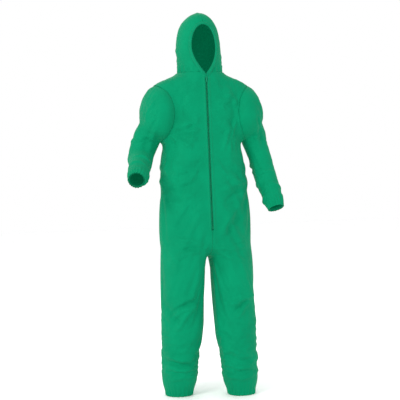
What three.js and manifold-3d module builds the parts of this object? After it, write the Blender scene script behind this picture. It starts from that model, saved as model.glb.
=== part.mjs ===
// Hooded one-piece protective coverall, worn shape, as an assembly of its sewn panels.
// Millimetres, +Z up, the front faces -Y, the wearer's right side is -X.
// The origin is the middle of the neck seam, where the garment hangs on its wearer.
import * as THREE from 'three';
import { mergeVertices } from 'three/addons/utils/BufferGeometryUtils.js';
import Module from 'manifold-3d';

const wasm = await Module();
wasm.setup();

// Lengths up the body, one above the other from the hem, in millimetres
const insideLeg = 655;
const crotchToWaist = 294;
const waistToArmhole = 361;
const shoulderToNeck = 52;
const hoodHeight = 285;
const kneeHeight = 345;
const zipAboveCrotch = 117;
const zipBelowNeck = 12;

// Girths, as half sizes
const neckHalfWidth = 104;
const shoulderHalfWidth = 222;
const chestHalfWidth = 184;
const waistHalfWidth = 203;
const hipHalfWidth = 219;
const thighHalfWidth = 101;
const thighHalfDepth = 116;
const calfHalfWidth = 85;
const ankleHalfWidth = 62;
const hoodHalfWidth = 101;
const hoodHalfDepth = 113;

// Half of the gap between the legs at the crotch, the line of the hips, and how far each foot
// stands out and back from there
const legHalfGap = 13;
const hipLineY = -34;
const rightFoot = { out: 32, back: 22 };
const leftFoot = { out: 18, back: -62 };

// Front line: straight from neck to crotch, so that the zip runs straight
const frontAtNeck = -99;
const frontAtCrotch = -149;
const backAtNeck = 120;
const backAtChest = 138;
const backAtWaist = 98;
const backAtHip = 124;

// Sleeves. The shoulder lies just above the armhole. The right forearm is raised forward,
// and the left one hangs: each arm goes from armhole to elbow, and on from elbow to cuff.
const armholeRadius = 131;
const shoulderAboveArmhole = 2;
const rightUpperArm = [-78, 24, -189];
const rightForearm = [-81, -236, -115];
const leftUpperArm = [76, 2, -196];
const leftForearm = [36, -126, -257];
const sleeveHeadDepth = 84;
const sleeveHeadTuckIn = 60;
const armholeCentreX = 205;
const armholeCentreY = 6;
const upperArmRadius = 64;
const elbowRadius = 54;
const forearmRadius = 49;
const cuffRadius = 37;
const forearmSeamShare = 0.67;

// Fabric, elastic and gaps
const wall = 3;
const seamGap = 0.5;
const seatGap = 0.3;
const swingGap = 0.85;
const elasticThickness = 1.4;
const elasticWidth = 14;
const elasticFromHem = 4;
const waistElasticWidth = 36;
const faceHemWidth = 13;
const faceHemProud = 0.9;

// Face opening: below the top of the hood, and measured from the neck seam
const faceBelowTop = 59;
const faceWidestRise = 117;
const chinDrop = 9;
const faceHalfWidth = 55;

// Zip
const zipTapeWidth = 13;
const zipTapeThickness = 0.8;
const coilWidth = 2.2;
const coilThickness = 2.2;
const coilHalfGap = 1.3;
const sliderWidth = 10;
const sliderLength = 13;
const sliderPlate = 1.1;
const pullWidth = 6;
const pullLength = 26;
const pullThickness = 0.9;
const pullEye = 0.9;
const archReach = 3.4;
const archHalfHeight = 3.2;
const archBar = 1.2;
const archWidth = 1.6;
const placketGap = 1.6;
const stopLength = 4;
const stopProud = 0.3;

// Heights of the seams that the lengths above add up to
const crotchHeight = insideLeg;
const waistHeight = crotchHeight + crotchToWaist;
const armholeHeight = waistHeight + waistToArmhole;
const shoulderHeight = armholeHeight + armholeRadius + shoulderAboveArmhole;
const neckSeamHeight = shoulderHeight + shoulderToNeck;
const zipBottomHeight = crotchHeight + zipAboveCrotch;

const ROUND_SIDES = 26;
const ARM_SIDES = 18;
const HEAD_SIDES = 36;
const HEAD_STEPS = 12;
const FAR = 1200;
const ARM_BLOCK = 360;

// ---------------------------------------------------------------- solids

function toSolid(geometry) {
  const bare = geometry.clone();
  bare.deleteAttribute('normal');
  bare.deleteAttribute('uv');
  const merged = mergeVertices(bare, 1e-4);
  const mesh = new wasm.Mesh({
    numProp: 3,
    vertProperties: new Float32Array(merged.attributes.position.array),
    triVerts: new Uint32Array(merged.index.array),
  });
  return new wasm.Manifold(mesh);
}

function toGeometry(solid) {
  const { vertProperties, triVerts } = solid.getMesh();
  const geometry = new THREE.BufferGeometry();
  geometry.setAttribute('position', new THREE.BufferAttribute(new Float32Array(vertProperties), 3));
  geometry.setIndex(new THREE.BufferAttribute(new Uint32Array(triVerts), 1));
  return geometry;
}

function union(solids) {
  return solids.reduce((whole, next) => whole.add(next));
}

// A box given by its lowest and highest corners
function slab(low, high) {
  const geometry = new THREE.BoxGeometry(high[0] - low[0], high[1] - low[1], high[2] - low[2]);
  geometry.translate((low[0] + high[0]) / 2, (low[1] + high[1]) / 2, (low[2] + high[2]) / 2);
  return toSolid(geometry);
}

// A closed tube through a row of oval rings. The turned surface has unit radius and one
// ring per step of height; each ring is then moved to its own centre, size and tilt.
function ovalTube(rings, sides, inset = 0) {
  const profile = [new THREE.Vector2(0, 0)];
  rings.forEach((ring, index) => profile.push(new THREE.Vector2(1, index)));
  profile.push(new THREE.Vector2(0, rings.length - 1));
  const geometry = new THREE.LatheGeometry(profile, sides);
  const position = geometry.attributes.position;
  const point = new THREE.Vector3();
  for (let i = 0; i < position.count; i += 1) {
    const ring = rings[Math.round(position.getY(i))];
    const power = 2 / (ring.power ?? 2);
    const across = position.getX(i);
    const ahead = -position.getZ(i);
    const acrossShare = Math.sign(across) * Math.abs(across) ** power;
    const aheadShare = Math.sign(ahead) * Math.abs(ahead) ** power;
    point.copy(ring.centre);
    point.addScaledVector(ring.across, acrossShare * (ring.halfWidth - inset));
    point.addScaledVector(ring.ahead, aheadShare * (ring.halfDepth - inset));
    position.setXYZ(i, point.x, point.y, point.z);
  }
  return toSolid(geometry);
}

const ACROSS = new THREE.Vector3(1, 0, 0);
const BACKWARD = new THREE.Vector3(0, 1, 0);

// A level ring between a front and a back depth
function levelRing(height, halfWidth, front, back, power = 2) {
  return {
    centre: new THREE.Vector3(0, (front + back) / 2, height),
    across: ACROSS,
    ahead: BACKWARD,
    halfWidth,
    halfDepth: (back - front) / 2,
    power,
  };
}

// Front of the body at a height, on the straight zip line
const zipTilt = (frontAtNeck - frontAtCrotch) / (neckSeamHeight - crotchHeight);

function frontAt(height) {
  return frontAtNeck - (neckSeamHeight - height) * zipTilt;
}

// ---------------------------------------------------------------- body and legs

// Rings from crotch to neck: height, half width, back line and squareness
function torsoRings() {
  const at = (height, halfWidth, back, power) =>
    levelRing(height, halfWidth, frontAt(height), back, power);
  return [
    levelRing(crotchHeight - 3, 16, -84, 20),
    levelRing(crotchHeight + 26, 176, -133, 86, 2.1),
    at(crotchHeight + 66, hipHalfWidth - 3, backAtHip - 8, 2.2),
    at(crotchHeight + 110, hipHalfWidth - 1, backAtHip, 2.3),
    at(waistHeight - 110, hipHalfWidth, backAtHip - 4, 2.3),
    at(waistHeight - 32, hipHalfWidth - 9, backAtWaist + 16, 2.3),
    at(waistHeight, waistHalfWidth, backAtWaist, 2.3),
    at(waistHeight + 34, waistHalfWidth + 5, backAtWaist + 20, 2.3),
    at(waistHeight + 90, waistHalfWidth + 1, backAtChest - 6, 2.3),
    at(armholeHeight - 150, chestHalfWidth, backAtChest, 2.4),
    at(armholeHeight - 60, chestHalfWidth + 12, backAtChest, 2.5),
    at(armholeHeight + 30, chestHalfWidth + 28, backAtChest - 4, 2.6),
    at(shoulderHeight - 40, shoulderHalfWidth + 6, backAtChest - 12, 2.5),
    at(shoulderHeight, shoulderHalfWidth - 2, backAtChest - 22, 2.3),
    at(shoulderHeight + 26, (shoulderHalfWidth + neckHalfWidth) / 2, backAtNeck + 1, 2.1),
    at(neckSeamHeight - 9, neckHalfWidth + 18, backAtNeck + 1),
    at(neckSeamHeight, neckHalfWidth, backAtNeck),
  ];
}

// side is -1 for the wearer's right leg and 1 for the left, which stands a little forward
function legCentre(side, height) {
  const down = 1 - height / crotchHeight;
  const foot = side < 0 ? rightFoot : leftFoot;
  const out = thighHalfWidth + legHalfGap + foot.out * down;
  return new THREE.Vector3(side * out, hipLineY + foot.back * down, height);
}

// Rings from hem to thigh: height, half width and half depth. The legs run on up to a top
// inside the hips.

function legRings(side, top) {
  const ring = (height, halfWidth, halfDepth) => ({
    centre: legCentre(side, Math.min(height, crotchHeight)).setZ(height),
    across: ACROSS,
    ahead: BACKWARD,
    halfWidth,
    halfDepth,
  });
  return [
    ring(0, ankleHalfWidth, ankleHalfWidth + 2),
    ring(26, ankleHalfWidth + 4, ankleHalfWidth + 6),
    ring(48, calfHalfWidth - 7, calfHalfWidth - 5),
    ring(92, calfHalfWidth, calfHalfWidth + 4),
    ring(180, calfHalfWidth + 3, calfHalfWidth + 10),
    ring(kneeHeight - 45, calfHalfWidth + 9, calfHalfWidth + 13),
    ring(kneeHeight, calfHalfWidth + 14, calfHalfWidth + 17),
    ring(kneeHeight + 55, thighHalfWidth - 4, thighHalfDepth - 14),
    ring(crotchHeight - 50, thighHalfWidth, thighHalfDepth - 6),
    ring(crotchHeight + 12, thighHalfWidth + 1, thighHalfDepth - 8),
    ring(top, thighHalfWidth - 12, thighHalfDepth - 22),
  ];
}

// The whole body below the neck, shrunk by an inset; open ends run on past the hems
function bodySolid(inset, runOn = 0) {
  const torso = torsoRings();
  const pieces = [];
  if (runOn > 0) {
    const top = torso[torso.length - 1];
    torso.push({ ...top, centre: top.centre.clone().setZ(neckSeamHeight + runOn) });
  }
  pieces.push(ovalTube(torso, ROUND_SIDES, inset));
  for (const side of [-1, 1]) {
    const leg = legRings(side, crotchHeight + 75);
    if (runOn > 0) {
      leg.unshift({ ...leg[0], centre: leg[0].centre.clone().setZ(-runOn) });
    }
    pieces.push(ovalTube(leg, ROUND_SIDES - 4, inset));
  }
  return union(pieces);
}

// ---------------------------------------------------------------- sleeves

// The arm's centre line, rounded at the elbow
function armCurve(side) {
  const upperArm = new THREE.Vector3(...(side < 0 ? rightUpperArm : leftUpperArm));
  const forearm = new THREE.Vector3(...(side < 0 ? rightForearm : leftForearm));
  const shoulder = new THREE.Vector3(side * armholeCentreX, armholeCentreY, armholeHeight);
  const elbow = shoulder.clone().add(upperArm);
  const cuff = elbow.clone().add(forearm);
  const before = elbow.clone().lerp(shoulder, 0.3);
  const after = elbow.clone().lerp(cuff, 0.24);
  const path = new THREE.CurvePath();
  path.add(new THREE.LineCurve3(shoulder, before));
  path.add(new THREE.QuadraticBezierCurve3(before, elbow, after));
  path.add(new THREE.LineCurve3(after, cuff));
  return path;
}

function ringOnArm(side, share, radius) {
  const path = armCurve(side);
  const tangent = path.getTangentAt(Math.min(share, 1)).normalize();
  const across = ACROSS.clone().addScaledVector(tangent, -tangent.x).normalize();
  const ahead = tangent.clone().cross(across).normalize();
  return {
    centre: path.getPointAt(Math.min(share, 1)),
    across,
    ahead,
    halfWidth: radius,
    halfDepth: radius,
  };
}

function armRings(side) {
  return [
    ringOnArm(side, 0, upperArmRadius + 22),
    ringOnArm(side, 0.16, upperArmRadius + 3),
    ringOnArm(side, 0.27, upperArmRadius - 6),
    ringOnArm(side, 0.38, elbowRadius + 1),
    ringOnArm(side, 0.44, elbowRadius),
    ringOnArm(side, 0.5, elbowRadius),
    ringOnArm(side, 0.57, elbowRadius - 1),
    ringOnArm(side, 0.72, forearmRadius + 1),
    ringOnArm(side, 0.88, forearmRadius),
    ringOnArm(side, 0.945, forearmRadius - 5),
    ringOnArm(side, 0.97, cuffRadius + 2),
    ringOnArm(side, 1, cuffRadius),
  ];
}

function pastEnd(ring, distance) {
  const along = ring.across.clone().cross(ring.ahead).normalize();
  return { ...ring, centre: ring.centre.clone().addScaledVector(along, distance) };
}

// The sleeve head is round about the X axis, so that it turns in its armhole without gaping
function sleeveHead(side, grow) {
  const head = new THREE.SphereGeometry(1, HEAD_SIDES, HEAD_STEPS);
  head.rotateZ(Math.PI / 2);
  head.scale(sleeveHeadDepth + grow, armholeRadius + grow, armholeRadius + grow);
  head.translate(side * armholeCentreX, armholeCentreY, armholeHeight);
  return toSolid(head);
}

function sleeveSolid(side, inset, runOn = 0) {
  const rings = armRings(side);
  if (runOn > 0) {
    rings.push(pastEnd(rings[rings.length - 1], runOn));
  }
  return union([sleeveHead(side, -inset), ovalTube(rings, ARM_SIDES, inset)]);
}

// The half of space past a plane that crosses the arm at a share of its length, and a
// further distance along it
function armBlock(side, share, towardsCuff, further = 0) {
  const ring = ringOnArm(side, share, 0);
  const along = ring.across.clone().cross(ring.ahead).normalize();
  const block = new THREE.BoxGeometry(ARM_BLOCK, ARM_BLOCK, ARM_BLOCK);
  const turn = new THREE.Matrix4().makeBasis(ring.across, along.clone().cross(ring.across), along);
  block.applyMatrix4(turn);
  const shift = further + (ARM_BLOCK / 2) * (towardsCuff ? 1 : -1);
  const middle = ring.centre.clone().addScaledVector(along, shift);
  block.translate(middle.x, middle.y, middle.z);
  return toSolid(block);
}

// ---------------------------------------------------------------- hood

// Rings from neck to crown: share of the hood's height, half width, half depth and how far
// the ring's middle lies behind the neck's
function hoodRings() {
  const neckY = (frontAtNeck + backAtNeck) / 2;
  const ring = (share, halfWidth, halfDepth, behind) => levelRing(
    neckSeamHeight + hoodHeight * share,
    halfWidth,
    neckY + behind - halfDepth,
    neckY + behind + halfDepth,
    2.15,
  );
  return [
    levelRing(neckSeamHeight, neckHalfWidth, frontAtNeck, backAtNeck),
    ring(0.158, hoodHalfWidth + 1, hoodHalfDepth, 7),
    ring(0.393, hoodHalfWidth, hoodHalfDepth, 16),
    ring(0.579, hoodHalfWidth - 5, hoodHalfDepth - 2, 20),
    ring(0.719, hoodHalfWidth - 14, hoodHalfDepth - 8, 21),
    ring(0.842, hoodHalfWidth - 31, hoodHalfDepth - 24, 20),
    ring(0.926, hoodHalfWidth - 53, hoodHalfDepth - 50, 18),
    ring(0.975, hoodHalfWidth - 75, hoodHalfDepth - 80, 17),
    ring(1, 6, 8, 16),
  ];
}

function hoodSolid(inset, runOn = 0) {
  const rings = hoodRings();
  if (runOn > 0) {
    rings.unshift({ ...rings[0], centre: rings[0].centre.clone().setZ(neckSeamHeight - runOn) });
  }
  const top = rings[rings.length - 1];
  top.centre.z -= inset;
  top.halfWidth += inset;
  top.halfDepth += inset;
  return ovalTube(rings, ROUND_SIDES, inset);
}

// The egg-shaped face opening with its chin point, run through the front of the hood
function faceOpening(margin) {
  const half = faceHalfWidth + margin;
  const top = neckSeamHeight + hoodHeight - faceBelowTop + margin;
  const bottom = neckSeamHeight - chinDrop - margin * 2;
  const widest = neckSeamHeight + faceWidestRise;
  const cheek = widest + (top - widest) * 0.64;
  const jaw = bottom + 66;
  const chin = { out: 16, height: bottom + 22 };
  const outline = new THREE.Shape();
  outline.moveTo(0, bottom);
  outline.bezierCurveTo(chin.out, chin.height, half, jaw, half, widest);
  outline.bezierCurveTo(half, cheek, half * 0.5, top, 0, top);
  outline.bezierCurveTo(-half * 0.5, top, -half, cheek, -half, widest);
  outline.bezierCurveTo(-half, jaw, -chin.out, chin.height, 0, bottom);
  const depth = 2 * hoodHalfDepth - 26;
  const prism = new THREE.ExtrudeGeometry(outline, { depth, bevelEnabled: false, curveSegments: 7 });
  prism.rotateX(Math.PI / 2);
  return toSolid(prism);
}

// ---------------------------------------------------------------- pieces

const root = new THREE.Group();
root.position.z = -neckSeamHeight;

const colours = {
  fabric: { color: 0x00966a, roughness: 0.72, metalness: 0 },
  elastic: { color: 0x0a7d58, roughness: 0.85, metalness: 0 },
  tape: { color: 0x0b8a62, roughness: 0.8, metalness: 0 },
  coil: { color: 0x08734f, roughness: 0.45, metalness: 0 },
  slider: { color: 0x0a6e4c, roughness: 0.35, metalness: 0.6 },
};

function addPiece(name, geometry, look, parent = root) {
  const mesh = new THREE.Mesh(geometry, new THREE.MeshStandardMaterial(colours[look]));
  mesh.name = name;
  parent.add(mesh);
  return mesh;
}

function sideName(side) {
  return side < 0 ? 'right' : 'left';
}

// A block on one side of the middle seam
function sideBlock(side) {
  const near = seamGap / 2;
  return side < 0
    ? slab([-FAR, -FAR, -FAR], [-near, FAR, 2 * FAR])
    : slab([near, -FAR, -FAR], [FAR, FAR, 2 * FAR]);
}

// The front or the back of one side, cut along its side seam, which follows the leg
function seamBlock(side, towardsBack) {
  const shift = towardsBack ? seamGap / 2 : -seamGap / 2;
  const far = towardsBack ? FAR : -FAR;
  const hem = legCentre(side, 0).y + shift;
  const hip = legCentre(side, crotchHeight).y + shift;
  const outline = new THREE.Shape();
  outline.moveTo(hem, -50);
  outline.lineTo(hem, 0);
  outline.lineTo(hip, crotchHeight);
  outline.lineTo(armholeCentreY + shift, armholeHeight);
  outline.lineTo(armholeCentreY + shift, neckSeamHeight + 50);
  outline.lineTo(far, neckSeamHeight + 50);
  outline.lineTo(far, -50);
  const prism = new THREE.ExtrudeGeometry(outline, { depth: FAR, bevelEnabled: false });
  // the outline lies in Y and Z, and the prism runs along X
  const turn = new THREE.Matrix4().makeBasis(
    new THREE.Vector3(0, 1, 0), new THREE.Vector3(0, 0, 1), new THREE.Vector3(1, 0, 0),
  );
  prism.applyMatrix4(turn);
  prism.translate(-FAR / 2, 0, 0);
  return toSolid(prism);
}

// The zip's own frame: Z runs up the zip line, -Y points out of the cloth
const zipAngle = Math.atan(zipTilt);
const zipLength = (neckSeamHeight - zipBottomHeight) / Math.cos(zipAngle) - zipBelowNeck;
const zipFrame = new THREE.Group();
zipFrame.position.set(0, frontAt(zipBottomHeight), zipBottomHeight);
zipFrame.rotation.x = -zipAngle;
root.add(zipFrame);
zipFrame.updateMatrix();

const coilOut = 1;
const coilIn = coilOut + coilThickness;
const tapeMid = (coilOut + coilIn) / 2;
const tapeNear = coilHalfGap + coilWidth + seatGap;
const cuttingRoom = 0.35;

function box(sizes, centre) {
  const geometry = new THREE.BoxGeometry(...sizes);
  geometry.translate(...centre);
  return geometry;
}

// Room that the zip and its slider need between the folded edges of the front panels. It
// starts just below the zip and runs out through the neck.
function zipRoom() {
  const below = 4;
  const height = below + zipLength + shoulderToNeck;
  const middle = height / 2 - below;
  const slotDepth = 60;
  const slotWidth = sliderWidth + 2 * placketGap;
  const slot = box([slotWidth, slotDepth, height], [0, 0, middle]);
  const tapeSpan = 2 * (tapeNear + zipTapeWidth + cuttingRoom);
  const tapeFront = tapeMid - zipTapeThickness / 2 - cuttingRoom;
  const behind = box([tapeSpan, slotDepth / 2, height], [0, tapeFront + slotDepth / 4, middle]);
  slot.applyMatrix4(zipFrame.matrix);
  behind.applyMatrix4(zipFrame.matrix);
  return toSolid(slot).add(toSolid(behind));
}

function addBodyPanels() {
  let shell = bodySolid(0).subtract(bodySolid(wall, 60));
  for (const side of [-1, 1]) {
    shell = shell.subtract(sleeveHead(side, swingGap));
  }
  shell = shell.subtract(faceOpening(0)).subtract(zipRoom());
  for (const side of [-1, 1]) {
    const half = shell.intersect(sideBlock(side));
    const name = sideName(side);
    addPiece(`${name}_front_panel`, toGeometry(half.intersect(seamBlock(side, false))), 'fabric');
    addPiece(`${name}_back_panel`, toGeometry(half.intersect(seamBlock(side, true))), 'fabric');
  }
}

// Elastic bands lie inside the cloth: one across the back at the waist, one in each hem
function bandInside(solidAt, region) {
  const outside = wall + seatGap;
  const band = solidAt(outside, 20).subtract(solidAt(outside + elasticThickness, 40));
  return band.intersect(region);
}

function addBodyElastics() {
  const low = waistHeight - waistElasticWidth / 2;
  const slice = slab([-FAR, -FAR, low], [FAR, FAR, low + waistElasticWidth]);
  const back = slice.intersect(seamBlock(1, true)).intersect(seamBlock(-1, true));
  addPiece('waist_elastic', toGeometry(bandInside(bodySolid, back)), 'elastic');
  for (const side of [-1, 1]) {
    const hem = slab([-FAR, -FAR, elasticFromHem], [FAR, FAR, elasticFromHem + elasticWidth]);
    const foot = hem.intersect(sideBlock(side));
    addPiece(`${sideName(side)}_ankle_elastic`, toGeometry(bandInside(bodySolid, foot)), 'elastic');
  }
}

function addSleeves() {
  for (const side of [-1, 1]) {
    const name = sideName(side);
    const shell = sleeveSolid(side, 0).subtract(sleeveSolid(side, wall, 40));
    const inEnd = side * (armholeCentreX - sleeveHeadTuckIn);
    const outside = side < 0
      ? slab([-FAR, -FAR, 0], [inEnd, FAR, 2 * FAR])
      : slab([inEnd, -FAR, 0], [FAR, FAR, 2 * FAR]);
    const sleeve = shell.intersect(outside).subtract(armBlock(side, forearmSeamShare, true));
    const extension = shell.intersect(armBlock(side, forearmSeamShare, true, seamGap));
    addPiece(`${name}_sleeve`, toGeometry(sleeve), 'fabric');
    addPiece(`${name}_sleeve_extension`, toGeometry(extension), 'fabric');
    const arm = (inset, runOn) => sleeveSolid(side, inset, runOn);
    const cuff = armBlock(side, 1, true, -elasticFromHem - elasticWidth)
      .subtract(armBlock(side, 1, true, -elasticFromHem));
    addPiece(`${name}_cuff_elastic`, toGeometry(bandInside(arm, cuff)), 'elastic');
  }
}

function addHood() {
  const above = slab([-FAR, -FAR, neckSeamHeight + seamGap], [FAR, FAR, 2 * FAR]);
  const shell = hoodSolid(0).subtract(hoodSolid(wall, 40)).intersect(above);
  const cloth = shell.subtract(faceOpening(faceHemWidth + seamGap));
  for (const side of [-1, 1]) {
    addPiece(`hood_${sideName(side)}_panel`, toGeometry(cloth.intersect(sideBlock(side))), 'fabric');
  }
  const thick = hoodSolid(-faceHemProud).subtract(hoodSolid(wall, 40)).intersect(above);
  const hem = thick.intersect(faceOpening(faceHemWidth)).subtract(faceOpening(0));
  addPiece('hood_face_elastic', toGeometry(hem), 'elastic');
}

function addZip() {
  const stopThickness = coilThickness + 2 * stopProud;
  for (const side of [-1, 1]) {
    const name = sideName(side);
    const tapeX = side * (tapeNear + zipTapeWidth / 2);
    const coilX = side * (coilHalfGap + coilWidth / 2);
    const middle = zipLength / 2;
    const tape = box([zipTapeWidth, zipTapeThickness, zipLength], [tapeX, tapeMid, middle]);
    addPiece(`zip_tape_${name}`, tape, 'tape', zipFrame);
    const coilLength = zipLength - 2 * stopLength - 2 * seatGap;
    const coil = box([coilWidth, coilThickness, coilLength], [coilX, tapeMid, middle]);
    addPiece(`zip_coil_${name}`, coil, 'coil', zipFrame);
    const stop = box([coilWidth, stopThickness, stopLength],
      [coilX, tapeMid, zipLength - stopLength / 2]);
    addPiece(`zip_top_stop_${name}`, stop, 'slider', zipFrame);
  }
  const bottom = box([2 * (coilHalfGap + coilWidth), stopThickness, stopLength],
    [0, tapeMid, stopLength / 2]);
  addPiece('zip_bottom_stop', bottom, 'slider', zipFrame);
}

// The slider: two plates joined by a neck between the chains, with an arch for the pull
const sliderTop = zipLength - stopLength - 1;
const sliderMiddle = sliderTop - sliderLength / 2;
const sliderFace = coilOut - seatGap - sliderPlate;
const archInside = sliderFace - archReach + archBar;

function sliderArch() {
  const outside = sliderFace - archReach;
  const rise = archHalfHeight;
  const root = sliderFace + 0.2;
  const arch = new THREE.Shape();
  arch.moveTo(root, -rise - archBar - 0.4);
  arch.lineTo(outside, -rise - 0.6);
  arch.lineTo(outside, rise + 0.6);
  arch.lineTo(root, rise + archBar + 0.4);
  arch.lineTo(root, rise + 0.2);
  arch.lineTo(archInside, rise - 0.4);
  arch.lineTo(archInside, -rise + 0.4);
  arch.lineTo(root, -rise - 0.2);
  const solid = new THREE.ExtrudeGeometry(arch, { depth: archWidth, bevelEnabled: false });
  solid.applyMatrix4(new THREE.Matrix4().makeBasis(
    new THREE.Vector3(0, 1, 0), new THREE.Vector3(0, 0, 1), new THREE.Vector3(1, 0, 0),
  ));
  solid.translate(-archWidth / 2, 0, sliderMiddle);
  return toSolid(solid);
}

function addSlider() {
  const frontPlate = sliderFace + sliderPlate / 2;
  const backPlate = coilIn + seatGap + sliderPlate / 2;
  const neckHeight = 4;
  const neckSize = [2 * (coilHalfGap - seatGap), backPlate - frontPlate, neckHeight];
  const plates = [frontPlate, backPlate].map((y) =>
    toSolid(box([sliderWidth, sliderPlate, sliderLength], [0, y, sliderMiddle])));
  const neckMiddle = sliderTop - neckHeight / 2 - 0.2;
  const neck = toSolid(box(neckSize, [0, (frontPlate + backPlate) / 2, neckMiddle]));
  addPiece('zip_slider', toGeometry(union([...plates, neck, sliderArch()])), 'slider', zipFrame);
}

// The pull hangs from the arch by the bar above its eye, flat against the slider
function addPull() {
  const plane = archInside + seatGap + pullThickness / 2;
  const barTop = 1.4;
  const eyeHeight = archHalfHeight + archBar + 1;
  const pull = toSolid(box([pullWidth, pullThickness, pullLength],
    [0, plane, sliderMiddle + barTop - pullLength / 2]));
  const eye = toSolid(box([archWidth + 1, 4, eyeHeight],
    [0, plane, sliderMiddle + barTop - pullEye - eyeHeight / 2]));
  addPiece('zip_pull', toGeometry(pull.subtract(eye)), 'slider', zipFrame);
}

addBodyPanels();
addBodyElastics();
addSleeves();
addHood();
addZip();
addSlider();
addPull();

export default root;
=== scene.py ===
"""Hooded protective coverall: sewn cloth panels, gathered cuffs and ankles, and a coil zip."""
import math

import bmesh
import bpy
import numpy as np
from mathutils import Matrix, Vector, noise
from mathutils.bvhtree import BVHTree


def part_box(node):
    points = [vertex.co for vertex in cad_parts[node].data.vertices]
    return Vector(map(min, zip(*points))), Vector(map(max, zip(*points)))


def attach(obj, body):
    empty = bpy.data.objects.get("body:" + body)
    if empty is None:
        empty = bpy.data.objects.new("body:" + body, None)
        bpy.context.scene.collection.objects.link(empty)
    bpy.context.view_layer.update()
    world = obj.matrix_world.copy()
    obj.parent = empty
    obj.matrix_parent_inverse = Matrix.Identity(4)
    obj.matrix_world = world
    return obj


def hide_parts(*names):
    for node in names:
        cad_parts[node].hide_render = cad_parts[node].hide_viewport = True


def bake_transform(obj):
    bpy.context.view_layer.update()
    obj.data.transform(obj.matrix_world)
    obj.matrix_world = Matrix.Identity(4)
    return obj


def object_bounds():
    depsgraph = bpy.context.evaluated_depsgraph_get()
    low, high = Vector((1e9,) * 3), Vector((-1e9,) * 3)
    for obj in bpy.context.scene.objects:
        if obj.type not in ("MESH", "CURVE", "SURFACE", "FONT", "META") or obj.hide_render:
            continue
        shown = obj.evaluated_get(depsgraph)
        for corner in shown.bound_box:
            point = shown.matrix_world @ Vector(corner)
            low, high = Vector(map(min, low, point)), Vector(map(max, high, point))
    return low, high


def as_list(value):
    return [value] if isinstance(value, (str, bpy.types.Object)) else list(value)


bl_info = {
    "name": "Protective Coverall",
    "version": (1, 0, 0),
    "blender": (4, 5, 0),
    "location": "3D View > Sidebar > Coverall",
    "description": "Builds a hooded protective coverall around its fixed frame",
    "category": "Object",
}

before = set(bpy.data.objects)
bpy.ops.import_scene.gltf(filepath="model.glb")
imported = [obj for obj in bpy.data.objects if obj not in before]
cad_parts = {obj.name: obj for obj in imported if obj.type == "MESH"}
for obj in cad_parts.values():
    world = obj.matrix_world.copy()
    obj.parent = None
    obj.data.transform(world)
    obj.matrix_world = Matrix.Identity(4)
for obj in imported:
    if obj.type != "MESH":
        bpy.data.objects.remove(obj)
cad_low, cad_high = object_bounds()

MM = 0.001
SIDES = {"right": -1, "left": 1}

ACROSS = Vector((1, 0, 0))
BACKWARD = Vector((0, 1, 0))
# Length of the inside leg, in mm
INSIDE_LEG = 655
# Heights, with the neck seam at 0
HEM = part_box("right_front_panel")[0].z
CROWN = cad_high.z
NECK = 0.0
CROTCH = HEM + INSIDE_LEG * MM
KNEE = HEM + 0.44
WAIST = sum(c.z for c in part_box("waist_elastic")) / 2
# Middle of the left armhole, half sizes of the sleeve's head in it, and how far the head goes in
ARMHOLE = Vector((0.205, 0.006, -0.185))
HEAD = Vector((0.084, 0.131, 0.131))
TUCK_IN = 0.060
# The body is cut away where the head's size times this reaches, and its edge stands off the head
HEAD_ROOM = 1.03
HEAD_GAP = 0.0012
# Distance from the middle of the suit beyond which a sleeve lies free of the body
SLEEVE_FREE = 0.245

# Rings of the body: height, half width, front and back, in mm, and squareness
TORSO = [
    (-843, 16, -84, 20, 2.0), (-814, 176, -133, 86, 2.1), (-774, 216, -143, 116, 2.2),
    (-730, 218, -142, 124, 2.3), (-656, 219, -138, 120, 2.3), (-578, 210, -133, 114, 2.3),
    (-546, 203, -131, 98, 2.3), (-512, 208, -129, 118, 2.3), (-456, 204, -126, 132, 2.3),
    (-335, 184, -119, 138, 2.4), (-245, 196, -114, 138, 2.5), (-155, 212, -108, 134, 2.6),
    (-92, 228, -104, 126, 2.5), (-52, 220, -102, 116, 2.3), (-26, 163, -101, 121, 2.1),
    (-9, 122, -100, 121, 2.0), (0, 104, -99, 120, 2.0), (40, 104, -97, 120, 2.0),
]
# Rings of a leg: height above the hem, half width and half depth
LEG = [
    (-40, 62, 64), (0, 62, 64), (26, 66, 68), (48, 78, 80), (92, 85, 89), (180, 88, 95),
    (300, 94, 98), (345, 99, 102), (400, 97, 102), (605, 101, 110), (667, 102, 108), (730, 89, 94),
]
LEG_STANCE = {"right": (32, 22), "left": (18, -62)}
# Rings of the hood: height, half width, half depth and middle
HOOD = [
    (-30, 104, 109.5, 10.5), (0, 104, 109.5, 10.5), (45, 102, 113, 17.5), (112, 101, 113, 26.5),
    (165, 96, 111, 30.5), (205, 87, 105, 31.5), (240, 70, 89, 30.5), (264, 48, 63, 28.5),
    (278, 26, 33, 27.5), (285, 6, 8, 26.5),
]
ARM = {
    "right": ((-78, 24, -189), (-81, -236, -115)),
    "left": ((76, 2, -196), (36, -126, -257)),
}
# Radius of a sleeve by its share of the arm
ARM_RADIUS = [
    (0, 86), (0.16, 67), (0.27, 58), (0.38, 55), (0.44, 54), (0.5, 54), (0.57, 53),
    (0.72, 50), (0.88, 49), (0.945, 45), (0.97, 40), (1, 37),
]
FOREARM_SEAM = 0.67


# ------------------------------------------------------------------ settings


def metres(label, words, value):
    return bpy.props.FloatProperty(
        name=label, description=words, default=value, unit="LENGTH", subtype="DISTANCE", precision=4
    )


def colour(label, words, value):
    return bpy.props.FloatVectorProperty(
        name=label, description=words, default=value, size=4, min=0, max=1, subtype="COLOR"
    )


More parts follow.
